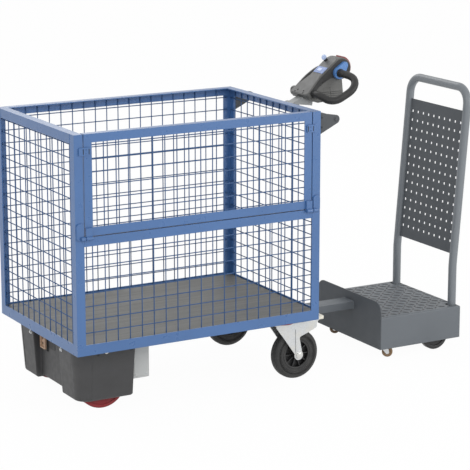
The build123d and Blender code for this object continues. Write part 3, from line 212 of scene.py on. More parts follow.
# Drive housing; a sheet's two numbers are its thickness and its softened edge
OUTSIDE = 0.5
FRONT_BOLT = (140 * MM, 222 * MM)
SIDE_BOLT = (122 * MM, 233 * MM)
HOUSING_BOLT = (10 * MM, 4 * MM)
HOUSING_NOTCHES = millimetres((88, 20, 9), (226, 14, 12))
NOTCH_DROP = 20 * MM
NOTCH_CORNER_R = 2 * MM
NOTCH_SHEET = (0.6 * MM, 0.2 * MM)
RECESS_ACROSS = 20 * MM
RECESS_DROP = 42 * MM
RECESS_OUTLINE = (70 * MM, 62 * MM, 8 * MM)
RECESS_SHEET = (1.2 * MM, 0.5 * MM)
HOUSING_CORNER_R = 65 * MM
HOUSING_DRAFT = math.radians(4)
COVER_STEPS = 16
# height, distance outside the housing's corner
COVER_SECTION = millimetres((52, -0.5), (52, 0.3), (248, 0.3), (248, -0.5))

# Charging socket and control box
SOCKET_BAR = 7 * MM
SOCKET_CORNER_R = 1.5 * MM
SOCKET_SHEET = (5 * MM, 1 * MM)
CONTACT_BACK = 4 * MM
CONTACT_ACROSS = 9 * MM
CONTACT_UP = 11 * MM
CONTACT_FORM = millimetres((0, 0), (5.2, 0), (5.2, 3), (3.4, 3), (3.4, 1), (0, 1))
CONTACT_STEPS = 16
LID_SHORTER = 10 * MM
LID_LOWER = 14 * MM
LID_CORNER_R = 5 * MM
LID_SHEET = (1.4 * MM, 0.5 * MM)
LID_SCREW_X = 13 * MM
LID_SCREW_Z = 15 * MM
LID_SCREW_R = 3.2 * MM

# Tiller head, measured from its tilt axis; U runs up the top face, N square to it
HEAD_OUT = 30 * MM
HEAD_RISE = 51 * MM
HEAD_SLOPE = math.radians(39)
HEAD_HALF_WIDTH = 40 * MM
HEAD_THICKNESS = 22 * MM
HEAD_NOSE_R = 43 * MM
HEAD_NOSE = (200 * MM, -HEAD_NOSE_R)
HEAD_NOSE_ANGLES = (90, -129)
HEAD_NOSE_STEPS = 20
HEAD_SHOULDER = (166 * MM, -60 * MM)
HEAD_EDGE = 4 * MM
FAN_HALF = millimetres((130, -32), (16, -66.4), (8, -66), (2, -61), (0, -53))
FAN_TOP = -0.1 * MM
FAN_EDGE = 2 * MM
BELLY_PROFILE = millimetres(
    (3.8, -4.7), (129.4, 57.8), (172.4, 57.8), (182.5, 49.5), (178.8, -23.8), (58.3, -33.9), (13.8, -17.1),
)
BELLY_WAIST = 41 * MM
BELLY_HALF_WIDTH = 62 * MM
BELLY_WAIST_Z = 57.8 * MM
BELLY_LOW_Z = -23.8 * MM
BELLY_FLARE = (BELLY_HALF_WIDTH - BELLY_WAIST) / (BELLY_WAIST_Z - BELLY_LOW_Z)
BELLY_EDGE = 2.5 * MM
# start x and z, end x and z, radius
BELLY_LINES = millimetres(
    (46, -10, 174, -10, 0.9), (58, -2, 174, -2, 0.9), (72, 5, 174, 5, 0.9), (120, -20, 120, 26, 0.8),
)

# Tiller controls
KNOB_PLACE = (177 * MM, -44 * MM)
KNOB_R = 25 * MM
KNOB_WING_PLACE = (216 * MM, -36 * MM)
KNOB_WING_R = 13 * MM
KNOB_WIDTH = 16 * MM
KNOB_EDGE = 3 * MM
KNOB_STEPS = 14
LOOP_TUBE_R = 15 * MM
LOOP_PATH = millimetres(
    # u, n, out, bend radius
    (177, -44, 54, 0),
    (177, -44, 80, 24),
    (192, -80, 190, 56),
    (42, -65, 150, 56),
    (33, -23, 94, 24),
    (33, -23, 28, 0),
)
LOOP_CUFFS = (
    # end of the loop's path, place across, length, wall
    (0, 55 * MM, 7 * MM, 2.6 * MM),
    (-1, 60 * MM, 10 * MM, 1.6 * MM),
)
CUFF_INNER_EDGE = 1 * MM
CUFF_OUTER_EDGE = 1.5 * MM
CUFF_STEPS = 28
BUTTON_ANGLES = (28, -62)
BUTTON_STEPS = 16
BUTTON_GAP = 0.1 * MM
BUTTON_THICKNESS = 6 * MM
BUTTON_HALF_WIDTH = 33 * MM
BUTTON_EDGE = 2.5 * MM
BUTTON_CROWN = 0.9
KEY_U = 191 * MM
KEY_Y = 24 * MM
KEY_BOW_N = 17 * MM
KEY_BOW_FORM = millimetres((0, -2.2), (9.5, -2.5), (11, -1.5), (11, 1.5), (9.5, 2.5), (0, 2.2))
KEY_BOW_STEPS = 28
KEY_BARREL_FORM = millimetres((0, 0), (8, 0), (8, 6.5), (7, 8), (4.5, 8), (4.5, 6.8), (0, 6.8))
KEY_BARREL_STEPS = 24
STEM_FOOT = millimetres((17, 14), (-17, 14))
STEM_SEAT = millimetres((2, -16), (45, -45), (12, -74))
STEM_HALF_WIDTH = 22 * MM
STEM_EDGE = 2.5 * MM
COLLAR_R = 22 * MM
COLLAR_HALF_WIDTH = 32 * MM
COLLAR_STEPS = 32
CROSSBAR_R = 11.2 * MM

# Tiller trim
STRIP_HALF = millimetres(
    (3, -46), (5, -54), (11, -61), (20, -61), (104, -36), (200, -36), (206, -35), (210, -31),
)
STRIP_SHEET = (1.3 * MM, 0.7 * MM)
TILLER_PANELS = (
    # piece, finish, and in millimetres: place on the top face, outline, sheet
    ("tiller_panel", "panel_blue", (138, 0, 1.2), (34, 68, 3), (1.2, 0.5)),
    ("tiller_panel_window", "panel_window", (139, 6, 2.3), (15, 26, 3), (0.8, 0.3)),
)
HEAD_SCREWS = millimetres((20, 22, 1), (9, 30, 1), (20, -22, 1), (9, -30, 1))
HEAD_SCREW_R = 3.0 * MM
BAND_INSET = 4 * MM
BAND_ANGLES = (90, -60)
BAND_STEPS = 10
BAND_FOOT = (96 * MM, -4 * MM)
BAND_LOW = millimetres((166, -56), (96, -40))
BAND_SHEET = (0.8 * MM, 0.3 * MM)
BAND_FAN = millimetres((16, 67.5), (60, 54.4), (104, 41.4))
BAND_FAN_LEVELS = (-2.5 * MM, -21 * MM)
SIDE_PLATE_BOLT = (10 * MM, 3 * MM)
SIDE_PLATE_SCREW_X = 16 * MM
SIDE_PLATE_SCREW_RISES = (-26 * MM, 12 * MM)
SIDE_PLATE_SCREW_R = 4.5 * MM

# Gate latches
LATCH_SLOTS = (-19 * MM, 4 * MM)
LATCH_SLOT_OUTLINE = (3 * MM, 21 * MM, 1.4 * MM)
LATCH_SLOT_SHEET = (0.5 * MM, 0.2 * MM)
LATCH_SCREW_IN = 8 * MM
LATCH_SCREW_RISES = (-7 * MM, 7 * MM)
LATCH_SCREW_R = 2.8 * MM

# Weld seams
POST_LEG = 35 * MM
RAIL_HEIGHT = 34 * MM
FRAME_BEAD_R = 1.1 * MM
ARM_BEAD_R = 3.0 * MM
PANEL_BEAD_R = 2.6 * MM
PANEL_BEAD_INSET = 1.3 * MM
STITCHES = 5
STITCH_START = 0.06
STITCH_PITCH = 0.21
STITCH_LENGTH = 0.05

# Every material by its name
MATERIALS = {}

# Nodes in another finish than their slot's: the red of the drive hubs, and copies of the platform grey that paint
# light, darker for shade on the kick plate and backrest panel, lighter on the backrest tube
OWN_FINISH_OR_PAINTED_LIGHT = {
    "backrest_panel": "sheet_painted_shade",
    "kick_plate": "sheet_painted_shade",
    "backrest_tube": "tube_painted_light",
    "drive_hub_near": "drive_red",
    "drive_hub_far": "drive_red",
}


# Materials

def linear(red, green, blue):
    """A screen colour, 0 to 255, as the linear values that shaders take."""
    channels = []
    for value in (red, green, blue):
        share = value / 255
        channels.append(share / 12.92 if share <= 0.04045 else ((share + 0.055) / 1.055) ** 2.4)
    return (*channels, 1.0)


def shade(colour, factor):
    """A colour made darker or lighter by a factor."""
    return (*[min(1.0, channel * factor) for channel in colour[:3]], 1.0)


def feed(tree, node, inputs):
    """Put values or links into the inputs of a shader node."""
    for key, value in inputs.items():
        if isinstance(value, bpy.types.NodeSocket):
            tree.links.new(value, node.inputs[key])
        else:
            node.inputs[key].default_value = value


def add_node(tree, kind, inputs=None, **settings):
    """A new shader node with its settings and inputs."""
    node = tree.nodes.new(kind)
    for key, value in settings.items():
        setattr(node, key, value)
    feed(tree, node, inputs or {})
    return node


class Look:
    """A material with one principled shader and short calls for the nodes that feed it."""

    def __init__(self, name, roughness, metallic=0.0, specular=0.5):
        self.name = name
        self.material = bpy.data.materials.new(name)
        self.material.use_nodes = True
        self.tree = self.material.node_tree
        self.shader = self.tree.nodes["Principled BSDF"]
        plain = {"Roughness": roughness, "Metallic": metallic, "Specular IOR Level": specular}
        feed(self.tree, self.shader, plain)
        self.place = self.add("ShaderNodeTexCoord").outputs["Object"]
        self.normal = None

    def add(self, kind, inputs=None, **settings):
        return add_node(self.tree, kind, inputs, **settings)

    def noise(self, scale, detail, stretch=(1, 1, 1)):
        place = self.add("ShaderNodeVectorMath", {0: self.place, 1: stretch}, operation="MULTIPLY")
        inputs = {"Vector": place.outputs[0], "Scale": scale, "Detail": detail}
        return self.add("ShaderNodeTexNoise", inputs).outputs["Fac"]

    def cells(self, scale, output, feature="F1"):
        inputs = {"Vector": self.place, "Scale": scale}
        return self.add("ShaderNodeTexVoronoi", inputs, feature=feature).outputs[output]

    def span(self, value, low, high, to_low=0.0, to_high=1.0):
        inputs = {"Value": value, "From Min": low, "From Max": high, "To Min": to_low, "To Max": to_high}
        return self.add("ShaderNodeMapRange", inputs).outputs["Result"]

    def spread(self, noise, to_low=0.0, to_high=1.0):
        """Noise stretched from its usual range."""
        return self.span(noise, *NOISE_RANGE, to_low, to_high)

    def math(self, operation, first, second=0.0):
        return self.add("ShaderNodeMath", {0: first, 1: second}, operation=operation).outputs[0]

    def mix(self, factor, first, second):
        return self.add("ShaderNodeMix", {0: factor, 6: first, 7: second}, data_type="RGBA").outputs[2]

    def tones(self, mask, colour, dark, light):
        """A colour that goes from darker to lighter with a mask."""
        return self.mix(mask, shade(colour, dark), shade(colour, light))

    def tint(self, tone, mask, share, colour):
        """A tone with a share of another colour where a mask is 1."""
        return self.mix(self.math("MULTIPLY", mask, share), tone, colour)

    def face_normal(self):
        return self.add("ShaderNodeNewGeometry").outputs["Normal"]

    def height_of(self, vector):
        return self.add("ShaderNodeSeparateXYZ", {0: vector}).outputs["Z"]

    def soft_edges(self, radius):
        """Rounds edges in the shading and gives a mask that is 1 along them."""
        self.normal = self.add("ShaderNodeBevel", {"Radius": radius}, samples=4).outputs["Normal"]
        inputs = {0: self.normal, 1: self.face_normal()}
        dot = self.add("ShaderNodeVectorMath", inputs, operation="DOT_PRODUCT")
        return self.span(dot.outputs["Value"], *EDGE_RANGE)

    def bump(self, height, strength, distance):
        inputs = {"Strength": strength, "Distance": distance, "Height": height}
        if self.normal is not None:
            inputs["Normal"] = self.normal
        self.normal = self.add("ShaderNodeBump", inputs).outputs["Normal"]

    def done(self, colour, roughness):
        """Connects the shader and keeps the material under its name."""
        feed(self.tree, self.shader, {"Base Color": colour, "Roughness": roughness, "Normal": self.normal})
        MATERIALS[self.name] = self.material


def powder_coat(name, colour, roughness, peel=0.10, edge_highlight=1.18, specular=0.5):
    """Powder coat on steel: orange peel, faint drift of tone, and a painted highlight along the edges."""
    look = Look(name, roughness, specular=specular)
    edge = look.soft_edges(1.0 * MM)
    drift = look.spread(look.noise(scale=5.0, detail=2.0))
    speck = look.span(look.noise(scale=420.0, detail=2.0), *SPECK_RANGE)
    tone = look.tones(drift, colour, dark=0.95, light=1.05)
    tone = look.tint(tone, speck, share=0.12, colour=shade(colour, 0.88))
    # painted highlight: a lighter tone along the edges
    tone = look.tint(tone, edge, share=0.55, colour=shade(colour, edge_highlight))
    look.bump(look.noise(scale=850.0, detail=1.0), strength=peel, distance=0.25 * MM)
    gloss = look.noise(scale=30.0, detail=3.0)
    look.done(tone, look.spread(gloss, roughness - 0.04, roughness + 0.06))


def moulded_plastic(name, colour, roughness, grain=1100.0, depth=0.25, edge_r=1.2 * MM):
    """Moulded plastic with a leathery grain, slight flow marks and a painted highlight along the edges."""
    look = Look(name, roughness)
    edge = look.soft_edges(edge_r)
    flow = look.spread(look.noise(scale=7.0, detail=4.0, stretch=(1.0, 1.0, 2.5)))
    tone = look.tones(flow, colour, dark=0.90, light=1.08)
    # painted highlight: a lighter tone along the edges
    tone = look.tint(tone, edge, share=0.5, colour=shade(colour, 1.5))
    look.bump(look.cells(grain, "Distance"), strength=depth, distance=0.15 * MM)
    gloss = look.noise(scale=45.0, detail=3.0)
    look.done(tone, look.spread(gloss, roughness - 0.06, roughness + 0.06))


def zinc_plate(name, colour, roughness):
    """Bright zinc: small spangle, brushed streaks, a little straw colour in the passivation and a painted
    highlight along the edges.
    """
    look = Look(name, roughness, metallic=0.85)
    edge = look.soft_edges(0.9 * MM)
    spangle = look.add("ShaderNodeSeparateColor", {0: look.cells(260.0, "Color")}).outputs[0]
    tone = look.tones(spangle, colour, dark=0.93, light=1.04)
    straw = look.span(look.noise(scale=24.0, detail=2.0), *PATCH_RANGE, to_high=0.35)
    tone = look.mix(straw, tone, shade(linear(226, 218, 196), 0.95))
    # painted highlight: near-white along the edges
    tone = look.tint(tone, edge, share=0.4, colour=linear(240, 241, 242))
    streaks = look.noise(scale=60.0, detail=3.0, stretch=(1.0, 1.0, 14.0))
    look.bump(streaks, strength=0.06, distance=0.2 * MM)
    look.done(tone, look.spread(streaks, roughness - 0.06, roughness + 0.10))


def rubber(name, colour, roughness, bloom):
    """Rubber or polyurethane: fine pitting, and a pale bloom where it has been handled or rolled."""
    look = Look(name, roughness, specular=0.35)
    pits = look.noise(scale=700.0, detail=2.0)
    dust = look.span(look.noise(scale=28.0, detail=4.0), *PATCH_RANGE, to_high=bloom)
    tone = look.tones(look.noise(scale=12.0, detail=2.0), colour, dark=0.9, light=1.1)
    tone = look.mix(dust, tone, linear(150, 147, 141))
    look.bump(pits, strength=0.25, distance=0.2 * MM)
    look.done(tone, look.spread(pits, roughness - 0.05, roughness + 0.08))


def film_board(name, colour, roughness):
    """Film-faced plywood: fine wire-print face, cloudy grain below it, layered edges."""
    look = Look(name, roughness)
    cloud = look.spread(look.noise(scale=6.0, detail=5.0, stretch=(0.35, 3.0, 1.0)))
    fibre = look.span(look.noise(scale=34.0, detail=5.0, stretch=(0.12, 3.2, 1.0)), *SPECK_RANGE)
    face = look.tones(cloud, colour, dark=0.92, light=1.06)
    face = look.tint(face, fibre, share=0.14, colour=shade(colour, 0.8))
    wire_print = look.cells(210.0, "Distance", "DISTANCE_TO_EDGE")
    face = look.mix(look.span(wire_print, *PRINT_RANGE), shade(colour, 0.82), face)
    ply = look.math("SINE", look.math("MULTIPLY", look.height_of(look.place), PLY_FREQUENCY))
    layers = look.mix(look.span(ply, -1.0, 1.0), linear(92, 70, 50), linear(128, 100, 72))
    level = look.math("ABSOLUTE", look.height_of(look.face_normal()))
    tone = look.mix(look.span(level, *FACE_RANGE), layers, face)
    look.bump(wire_print, strength=0.3, distance=0.3 * MM)
    look.done(tone, look.span(fibre, 0.0, 1.0, roughness - 0.07, roughness + 0.07))


def gloss_plastic(name, colour, roughness):
    """Glossy moulded control: faint swirl in the colour, a polished, slightly uneven skin and a painted highlight
    along the edges.
    """
    look = Look(name, roughness)
    edge = look.soft_edges(0.8 * MM)
    swirl = look.spread(look.noise(scale=35.0, detail=3.0))
    tone = look.tones(swirl, colour, dark=0.9, light=1.07)
    # painted highlight: a lighter tone along the edges
    tone = look.tint(tone, edge, share=0.4, colour=shade(colour, 1.35))
    look.bump(look.noise(scale=300.0, detail=1.0), strength=0.05, distance=0.2 * MM)
    gloss = look.noise(scale=90.0, detail=2.0)
    look.done(tone, look.spread(gloss, roughness - 0.04, roughness + 0.06))


def make_finishes():
    """The finish of every slot, then those of single nodes and small pieces."""
    blue = linear(63, 103, 156)
    powder_coat("frame_blue", blue, 0.30, peel=0.06, specular=0.75)
    powder_coat("wire_blue", shade(blue, 0.66), 0.40, peel=0.05, specular=0.4)
    film_board("deck_board", linear(100, 100, 97), 0.55)
    # the wide edge radius spreads the painted highlight into a lighter band round the housing's corners
    moulded_plastic("housing_plastic", linear(62, 62, 63), 0.50, edge_r=9 * MM)
    moulded_plastic("battery_case", linear(44, 44, 46), 0.50)
    powder_coat("box_grey", linear(196, 198, 197), 0.42)
    moulded_plastic("socket_tan", linear(192, 160, 134), 0.45)
    zinc_plate("zinc", linear(208, 210, 211), 0.34)
    moulded_plastic("seal_red", linear(140, 48, 44), 0.45)
    powder_coat("plate_grey", linear(76, 79, 82), 0.5, specular=0.3)
    powder_coat("platform_grey", linear(102, 107, 112), 0.46, specular=0.35)
    moulded_plastic("tiller_plastic", linear(90, 90, 88), 0.52, grain=900.0, depth=0.3)
    rubber("loop_rubber", linear(44, 44, 44), 0.42, bloom=0.04)
    gloss_plastic("control_blue", linear(82, 129, 190), 0.30)
    gloss_plastic("button_red", linear(140, 40, 40), 0.30)
    rubber("drive_red", linear(136, 42, 46), 0.45, bloom=0.05)
    moulded_plastic("wheel_black", linear(33, 33, 34), 0.45)
    rubber("tyre_grey", linear(51, 51, 51), 0.58, bloom=0.06)
    rubber("step_amber", linear(134, 108, 80), 0.42, bloom=0.05)
    # painted shade: a darker copy of the platform grey for the kick plate and backrest panel
    powder_coat("sheet_painted_shade", linear(84, 88, 92), 0.5, specular=0.25)
    # painted light: a lighter, glossier copy of the platform grey for the backrest tube
    powder_coat("tube_painted_light", linear(116, 121, 126), 0.36)
    moulded_plastic("tiller_strip", linear(98, 98, 97), 0.55, grain=900.0, depth=0.2)
    # painted shade: the dark tone of the head's sides and of its moulded lines
    moulded_plastic("tiller_shade_band", linear(44, 44, 44), 0.6, grain=900.0, depth=0.3)
    gloss_plastic("panel_blue", linear(104, 132, 190), 0.35)
    gloss_plastic("panel_window", linear(186, 203, 236), 0.22)
    # black for small parts, and the painted shade of the housing's notches and recess and of the latch slots
    moulded_plastic("black_detail_and_shade", linear(26, 26, 27), 0.5)
    moulded_plastic("pedal_cream", linear(226, 222, 206), 0.4, depth=0.1)
    # painted shade and highlight: the lugs are darker for the shade on their sides, with a strong painted
    # highlight along their edges
    powder_coat("lug_shade_and_highlight", linear(74, 77, 81), 0.40, edge_highlight=2.2)
    # the stem's own grey, also used darker than the zinc as painted shade along the castor forks' folds
    moulded_plastic("stem_grey_and_fold_shade", linear(150, 152, 152), 0.5)


def paint_frame():
    """Give every CAD node its own finish or painted-light copy, or else the material of its slot."""
    for subpart in frame["record"]["subparts"]:
        node = subpart["node"]
        slots = nodes[node].data.materials
        slots.clear()
        slots.append(MATERIALS[OWN_FINISH_OR_PAINTED_LIGHT.get(node, subpart["material_slot"])])


# Mesh building

def add_object(name, data):
    """A new object in the scene."""
    made = bpy.data.objects.new(name, data)
    scene.collection.objects.link(made)
    return made


@contextmanager
def piece(name, body, finish, replaces=(), smooth_angle=35):
    """A mesh piece that the with block fills, in its finish, hung on a CAD body."""
    work = bmesh.new()
    yield work
    bmesh.ops.recalc_face_normals(work, faces=work.faces)
    mesh = bpy.data.meshes.new(name)
    work.to_mesh(mesh)
    work.free()
    mesh.shade_smooth()
    mesh.set_sharp_from_angle(angle=math.radians(smooth_angle))
    mesh.materials.append(MATERIALS[finish])
    made = add_object(name, mesh)
    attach(made, body)
    if replaces:
        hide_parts(*replaces)


def facing(point, direction, up="Y"):
    """A placing matrix at a point, with its Z axis along a direction."""
    turn = Vector(direction).to_track_quat("Z", up).to_matrix().to_4x4()
    return Matrix.Translation(Vector(point)) @ turn


def upright(point, out):
    """A placing matrix for a plate that stands on its edge and looks across the cart."""
    return Matrix.Translation(point) @ Matrix.Rotation(-out * math.pi / 2, 4, "X")


def outer_faces(node):
    """A node's two faces across the cart, each with the way that it looks."""
    low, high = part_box(node)
    return ((low.y, -1), (high.y, 1))


def arc(centre, radius, start, end, steps):
    """Points on an arc from one angle to another, in degrees."""
    points = []
    for step in range(steps + 1):
        angle = math.radians(start + (end - start) * step / steps)
        points.append((centre[0] + radius * math.cos(angle), centre[1] + radius * math.sin(angle)))
    return points


def mirrored(points):
    """A half outline and its mirror image across the X axis, as one loop."""
    return points + [(x, -y) for x, y in reversed(points)]


def rounded_rectangle(length, width, radius):
    """Outline points of a rectangle with rounded corners, centred on the origin."""
    points = []
    for corner, (side_x, side_y) in enumerate(((1, 1), (-1, 1), (-1, -1), (1, -1))):
        centre = (side_x * (length / 2 - radius), side_y * (width / 2 - radius))
        points += arc(centre, radius, 90 * corner, 90 * corner + 90, CORNER_STEPS)
    return points


def skin(work, rows, wrap=True):
    """Faces between rows of points, where a row of one point is a tip; gives the rows' vertices."""
    rows = [[work.verts.new(point) for point in row] for row in rows]
    for low, high in zip(rows, rows[1:]):
        count = max(len(low), len(high))
        for step in range(count if wrap else count - 1):
            after = (step + 1) % count
            corners = [low[step % len(low)], low[after % len(low)]]
            corners += [high[after % len(high)], high[step % len(high)]]
            work.faces.new(list(dict.fromkeys(corners)))
    return rows


def solid(work, rings):
    """A skin over rings of points, closed at both ends; gives the end faces."""
    rings = skin(work, rings)
    return [work.faces.new(rings[0]), work.faces.new(rings[-1])]


def lathe(work, profile, place, steps):
    """Turn a profile of (radius, height) points about the Z axis of a placing matrix."""
    rings = []
    for radius, height in profile:
        ring = []
        for step in range(1 if radius < TINY else steps):
            angle = math.tau * step / steps
            ring.append(place @ Vector((radius * math.cos(angle), radius * math.sin(angle), height)))
        rings.append(ring)
    skin(work, rings)


def round_bar(work, start, end, radius, steps=BAR_STEPS):
    """A round bar with softened ends."""
    start, end = Vector(start), Vector(end)
    length = (end - start).length
    soft = BAR_EDGE * radius
    half = [(0, 0), (radius - soft, 0), (radius, soft)]
    profile = half + [(wide, length - height) for wide, height in reversed(half)]
    lathe(work, profile, facing(start, end - start), steps)


def hex_bolt(work, point, direction, across, height):
    """A washer and a hexagon head on a face."""
    place = facing(point, direction)
    low = WASHER_THICKNESS
    top = low + height
    washer_r = WASHER_SHARE * across
    head_r = across / math.sqrt(3)
    lathe(work, [(0, 0), (washer_r, 0), (washer_r, low), (0, low)], place, WASHER_STEPS)
    head = [(0, low), (head_r, low), (head_r, top - BOLT_CHAMFER * height)]
    head += [(BOLT_CROWN * head_r, top), (0, top)]
    lathe(work, head, place, HEXAGON)


def screw(work, point, direction, radius):
    """A domed screw head with a hexagon socket."""
    profile = [(wide * radius, high * radius) for wide, high in SCREW_FORM]
    lathe(work, profile, facing(point, direction), SCREW_STEPS)


def weld_bead(work, start, end, radius):
    """A rippled weld seam along a corner."""
    start, end = Vector(start), Vector(end)
    length = (end - start).length
    count = max(4, int(length / WELD_RIPPLE) * 2)
    profile = [(0, 0)]
    for step in range(count + 1):
        profile.append((radius * (1.0 if step % 2 else WELD_WAIST), length * step / count))
    profile.append((0, length))
    lathe(work, profile, facing(start, end - start), BEAD_STEPS)


def plate(work, outline, place, thickness, soft):
    """A plate with a softened upper edge, standing on the XY plane of a placing matrix."""
    middle_x = sum(x for x, _ in outline) / len(outline)
    middle_y = sum(y for _, y in outline) / len(outline)
    reach = max(math.hypot(x - middle_x, y - middle_y) for x, y in outline)
    rings = []
    for height, scale in ((0.0, 1.0), (thickness - soft, 1.0), (thickness, 1 - soft / reach)):
        ring = []
        for x, y in outline:
            spot = (middle_x + scale * (x - middle_x), middle_y + scale * (y - middle_y), height)
            ring.append(place @ Vector(spot))
        rings.append(ring)
    solid(work, rings)


def prism(work, sides, soft):
    """A solid between two outlines with as many points, with rounded rims."""
    rims = {edge for cap in solid(work, sides) for edge in cap.edges}
    bmesh.ops.bevel(work, geom=list(rims), offset=soft, segments=EDGE_SEGMENTS, affect="EDGES", profile=0.5)


def rounded_path(points, radii):
    """Points along straight runs whose corners are rounded to the given radii."""
    path = [points[0]]
    for before, corner, after, radius in zip(points, points[1:], points[2:], radii):
        to_before = (before - corner).normalized()
        to_after = (after - corner).normalized()
        half_angle = to_before.angle(to_after) / 2
        setback = radius / math.tan(half_angle)
        centre = corner + (to_before + to_after).normalized() * radius / math.sin(half_angle)
        first = corner + to_before * setback - centre
        last = corner + to_after * setback - centre
        turn = first.angle(last)
        for step in range(BEND_STEPS + 1):
            share = step / BEND_STEPS
            spoke = first * math.sin((1 - share) * turn) + last * math.sin(share * turn)
            path.append(centre + spoke / math.sin(turn))
    path.append(points[-1])
    return path


def tube(work, path, radius):
    """A round tube with closed ends along a path."""
    rings = []
    across = None
    for index, point in enumerate(path):
        ahead = path[min(index + 1, len(path) - 1)] - path[max(index - 1, 0)]
        ahead.normalize()
        if across is None:
            across = ahead.orthogonal()
        across = (across - ahead * across.dot(ahead)).normalized()
        other = ahead.cross(across)
        ring = []
        for side in range(TUBE_SIDES):
            angle = math.tau * side / TUBE_SIDES
            ring.append(point + radius * (across * math.cos(angle) + other * math.sin(angle)))
        rings.append(ring)
    solid(work, rings)


def surface_at(node, start, direction):
    """Where a ray meets a CAD node, and which way the face looks there."""
    mesh = nodes[node].data
    corners = [vertex.co for vertex in mesh.vertices]
    tree = BVHTree.FromPolygons(corners, [face.vertices for face in mesh.polygons])
    point, normal, _, _ = tree.ray_cast(Vector(start), Vector(direction))
    return point, normal


# Wire mesh, rounded and welded at the crossings

def wire_boxes(node):
    """The box of every loose wire in a CAD mesh node."""
    mesh = nodes[node].data
    parent = {}

    def find(key):
        while parent[key] != key:
            parent[key] = parent[parent[key]]
            key = parent[key]
        return key

    keys = [tuple(round(value, 5) for value in vertex.co) for vertex in mesh.vertices]
    for key in keys:
        parent.setdefault(key, key)
    for edge in mesh.edges:
        first, second = (find(keys[index]) for index in edge.vertices)
        parent[first] = second
    groups = {}
    for key in parent:
        groups.setdefault(find(key), []).append(key)
    boxes = []
    for points in groups.values():
        low = Vector([min(point[axis] for point in points) for axis in range(3)])
        high = Vector([max(point[axis] for point in points) for axis in range(3)])
        boxes.append((low, high))
    boxes.sort(key=lambda box: (*box[0], *box[1]))
    return boxes


def wire_runs(node):
    """The long axis, start, end and radius of every wire in a CAD mesh node."""
    runs = []
    for low, high in wire_boxes(node):
        size = high - low
        axis = max(range(3), key=lambda index: size[index])
        radius = max(size[index] for index in range(3) if index != axis) / 2
        start = (low + high) / 2
        end = start.copy()
        start[axis] = low[axis]
        end[axis] = high[axis]
        runs.append((axis, start, end, radius))
    return runs


def dress_wires(node, body):
    """Round wires in place of a mesh node, with a weld nugget at each crossing."""
    runs = wire_runs(node)
    uprights = [run for run in runs if run[0] == 2]
    levels = [run for run in runs if run[0] != 2]
    with piece(f"{node}_wires", body, "wire_blue", (node,), smooth_angle=50) as work:
        for _, start, end, radius in runs:
            round_bar(work, start, end, radius)
        for _, foot, head, radius in uprights:
            nugget = [(wide * NUGGET_R, high * radius) for wide, high in NUGGET_FORM]
            for axis, left, right, _ in levels:
                if left[axis] < foot[axis] < right[axis] and foot.z < left.z < head.z:
                    middle = (foot + left) / 2
                    middle.z = left.z
                    middle[axis] = foot[axis]
                    lathe(work, nugget, facing(middle, (0, 0, 1)), HEXAGON)


# Standing deck

def lug(work, centre, angle):
    """One raised tear: a lens outline that rises to a rounded ridge."""
    turn = Matrix.Translation(centre) @ Matrix.Rotation(angle, 4, "Z")
    rows = []
    for along, wide, high in LUG_FORM:
        width = wide * LUG_WIDTH / 2
        height = high * LUG_HEIGHT
        row = [(-width, 0.0), (-LUG_RIDGE * width, height), (LUG_RIDGE * width, height), (width, 0.0)]
        if wide < TINY:
            row = [(0.0, 0.0)]
        rows.append([turn @ Vector((along * LUG_LENGTH / 2, across, z)) for across, z in row])
    skin(work, rows, wrap=False)


def tear_plate():
    low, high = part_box("platform_box")
    columns = int((high.x - low.x - 2 * LUG_MARGIN) / LUG_PITCH)
    rows = int((high.y - low.y - 2 * LUG_MARGIN) / LUG_PITCH)
    start_x = (low.x + high.x - columns * LUG_PITCH) / 2
    start_y = (low.y + high.y - rows * LUG_PITCH) / 2
    # the lugs' finish paints shade on them and a highlight along their edges
    with piece("deck_lugs", "platform", "lug_shade_and_highlight", smooth_angle=60) as work:
        for column in range(columns + 1):
            for row in range(rows + 1):
                x = start_x + column * LUG_PITCH
                y = start_y + row * LUG_PITCH
                by_post = x > high.x - POST_ROOM_X and min(y - low.y, high.y - y) < POST_ROOM_Y
                if not by_post:
                    angle = LUG_ANGLE if (column + row) % 2 else -LUG_ANGLE
                    lug(work, Vector((x, y, high.z)), angle)


# Wheels

def wheel_axis(joint):
    """The centre of a wheel and the direction of its axle."""
    return Vector(joints[joint]["pos_m"]), Vector(joints[joint]["axis"])


def turned(name, body, finish, joint, profiles, steps, replaces=()):
    """A piece turned from closed profiles about the axle of a wheel."""
    place = facing(*wheel_axis(joint))
    with piece(name, body, finish, replaces) as work:
        for profile in profiles:
            lathe(work, profile + profile[:1], place, steps)
        bmesh.ops.remove_doubles(work, verts=work.verts, dist=MERGE_DISTANCE)


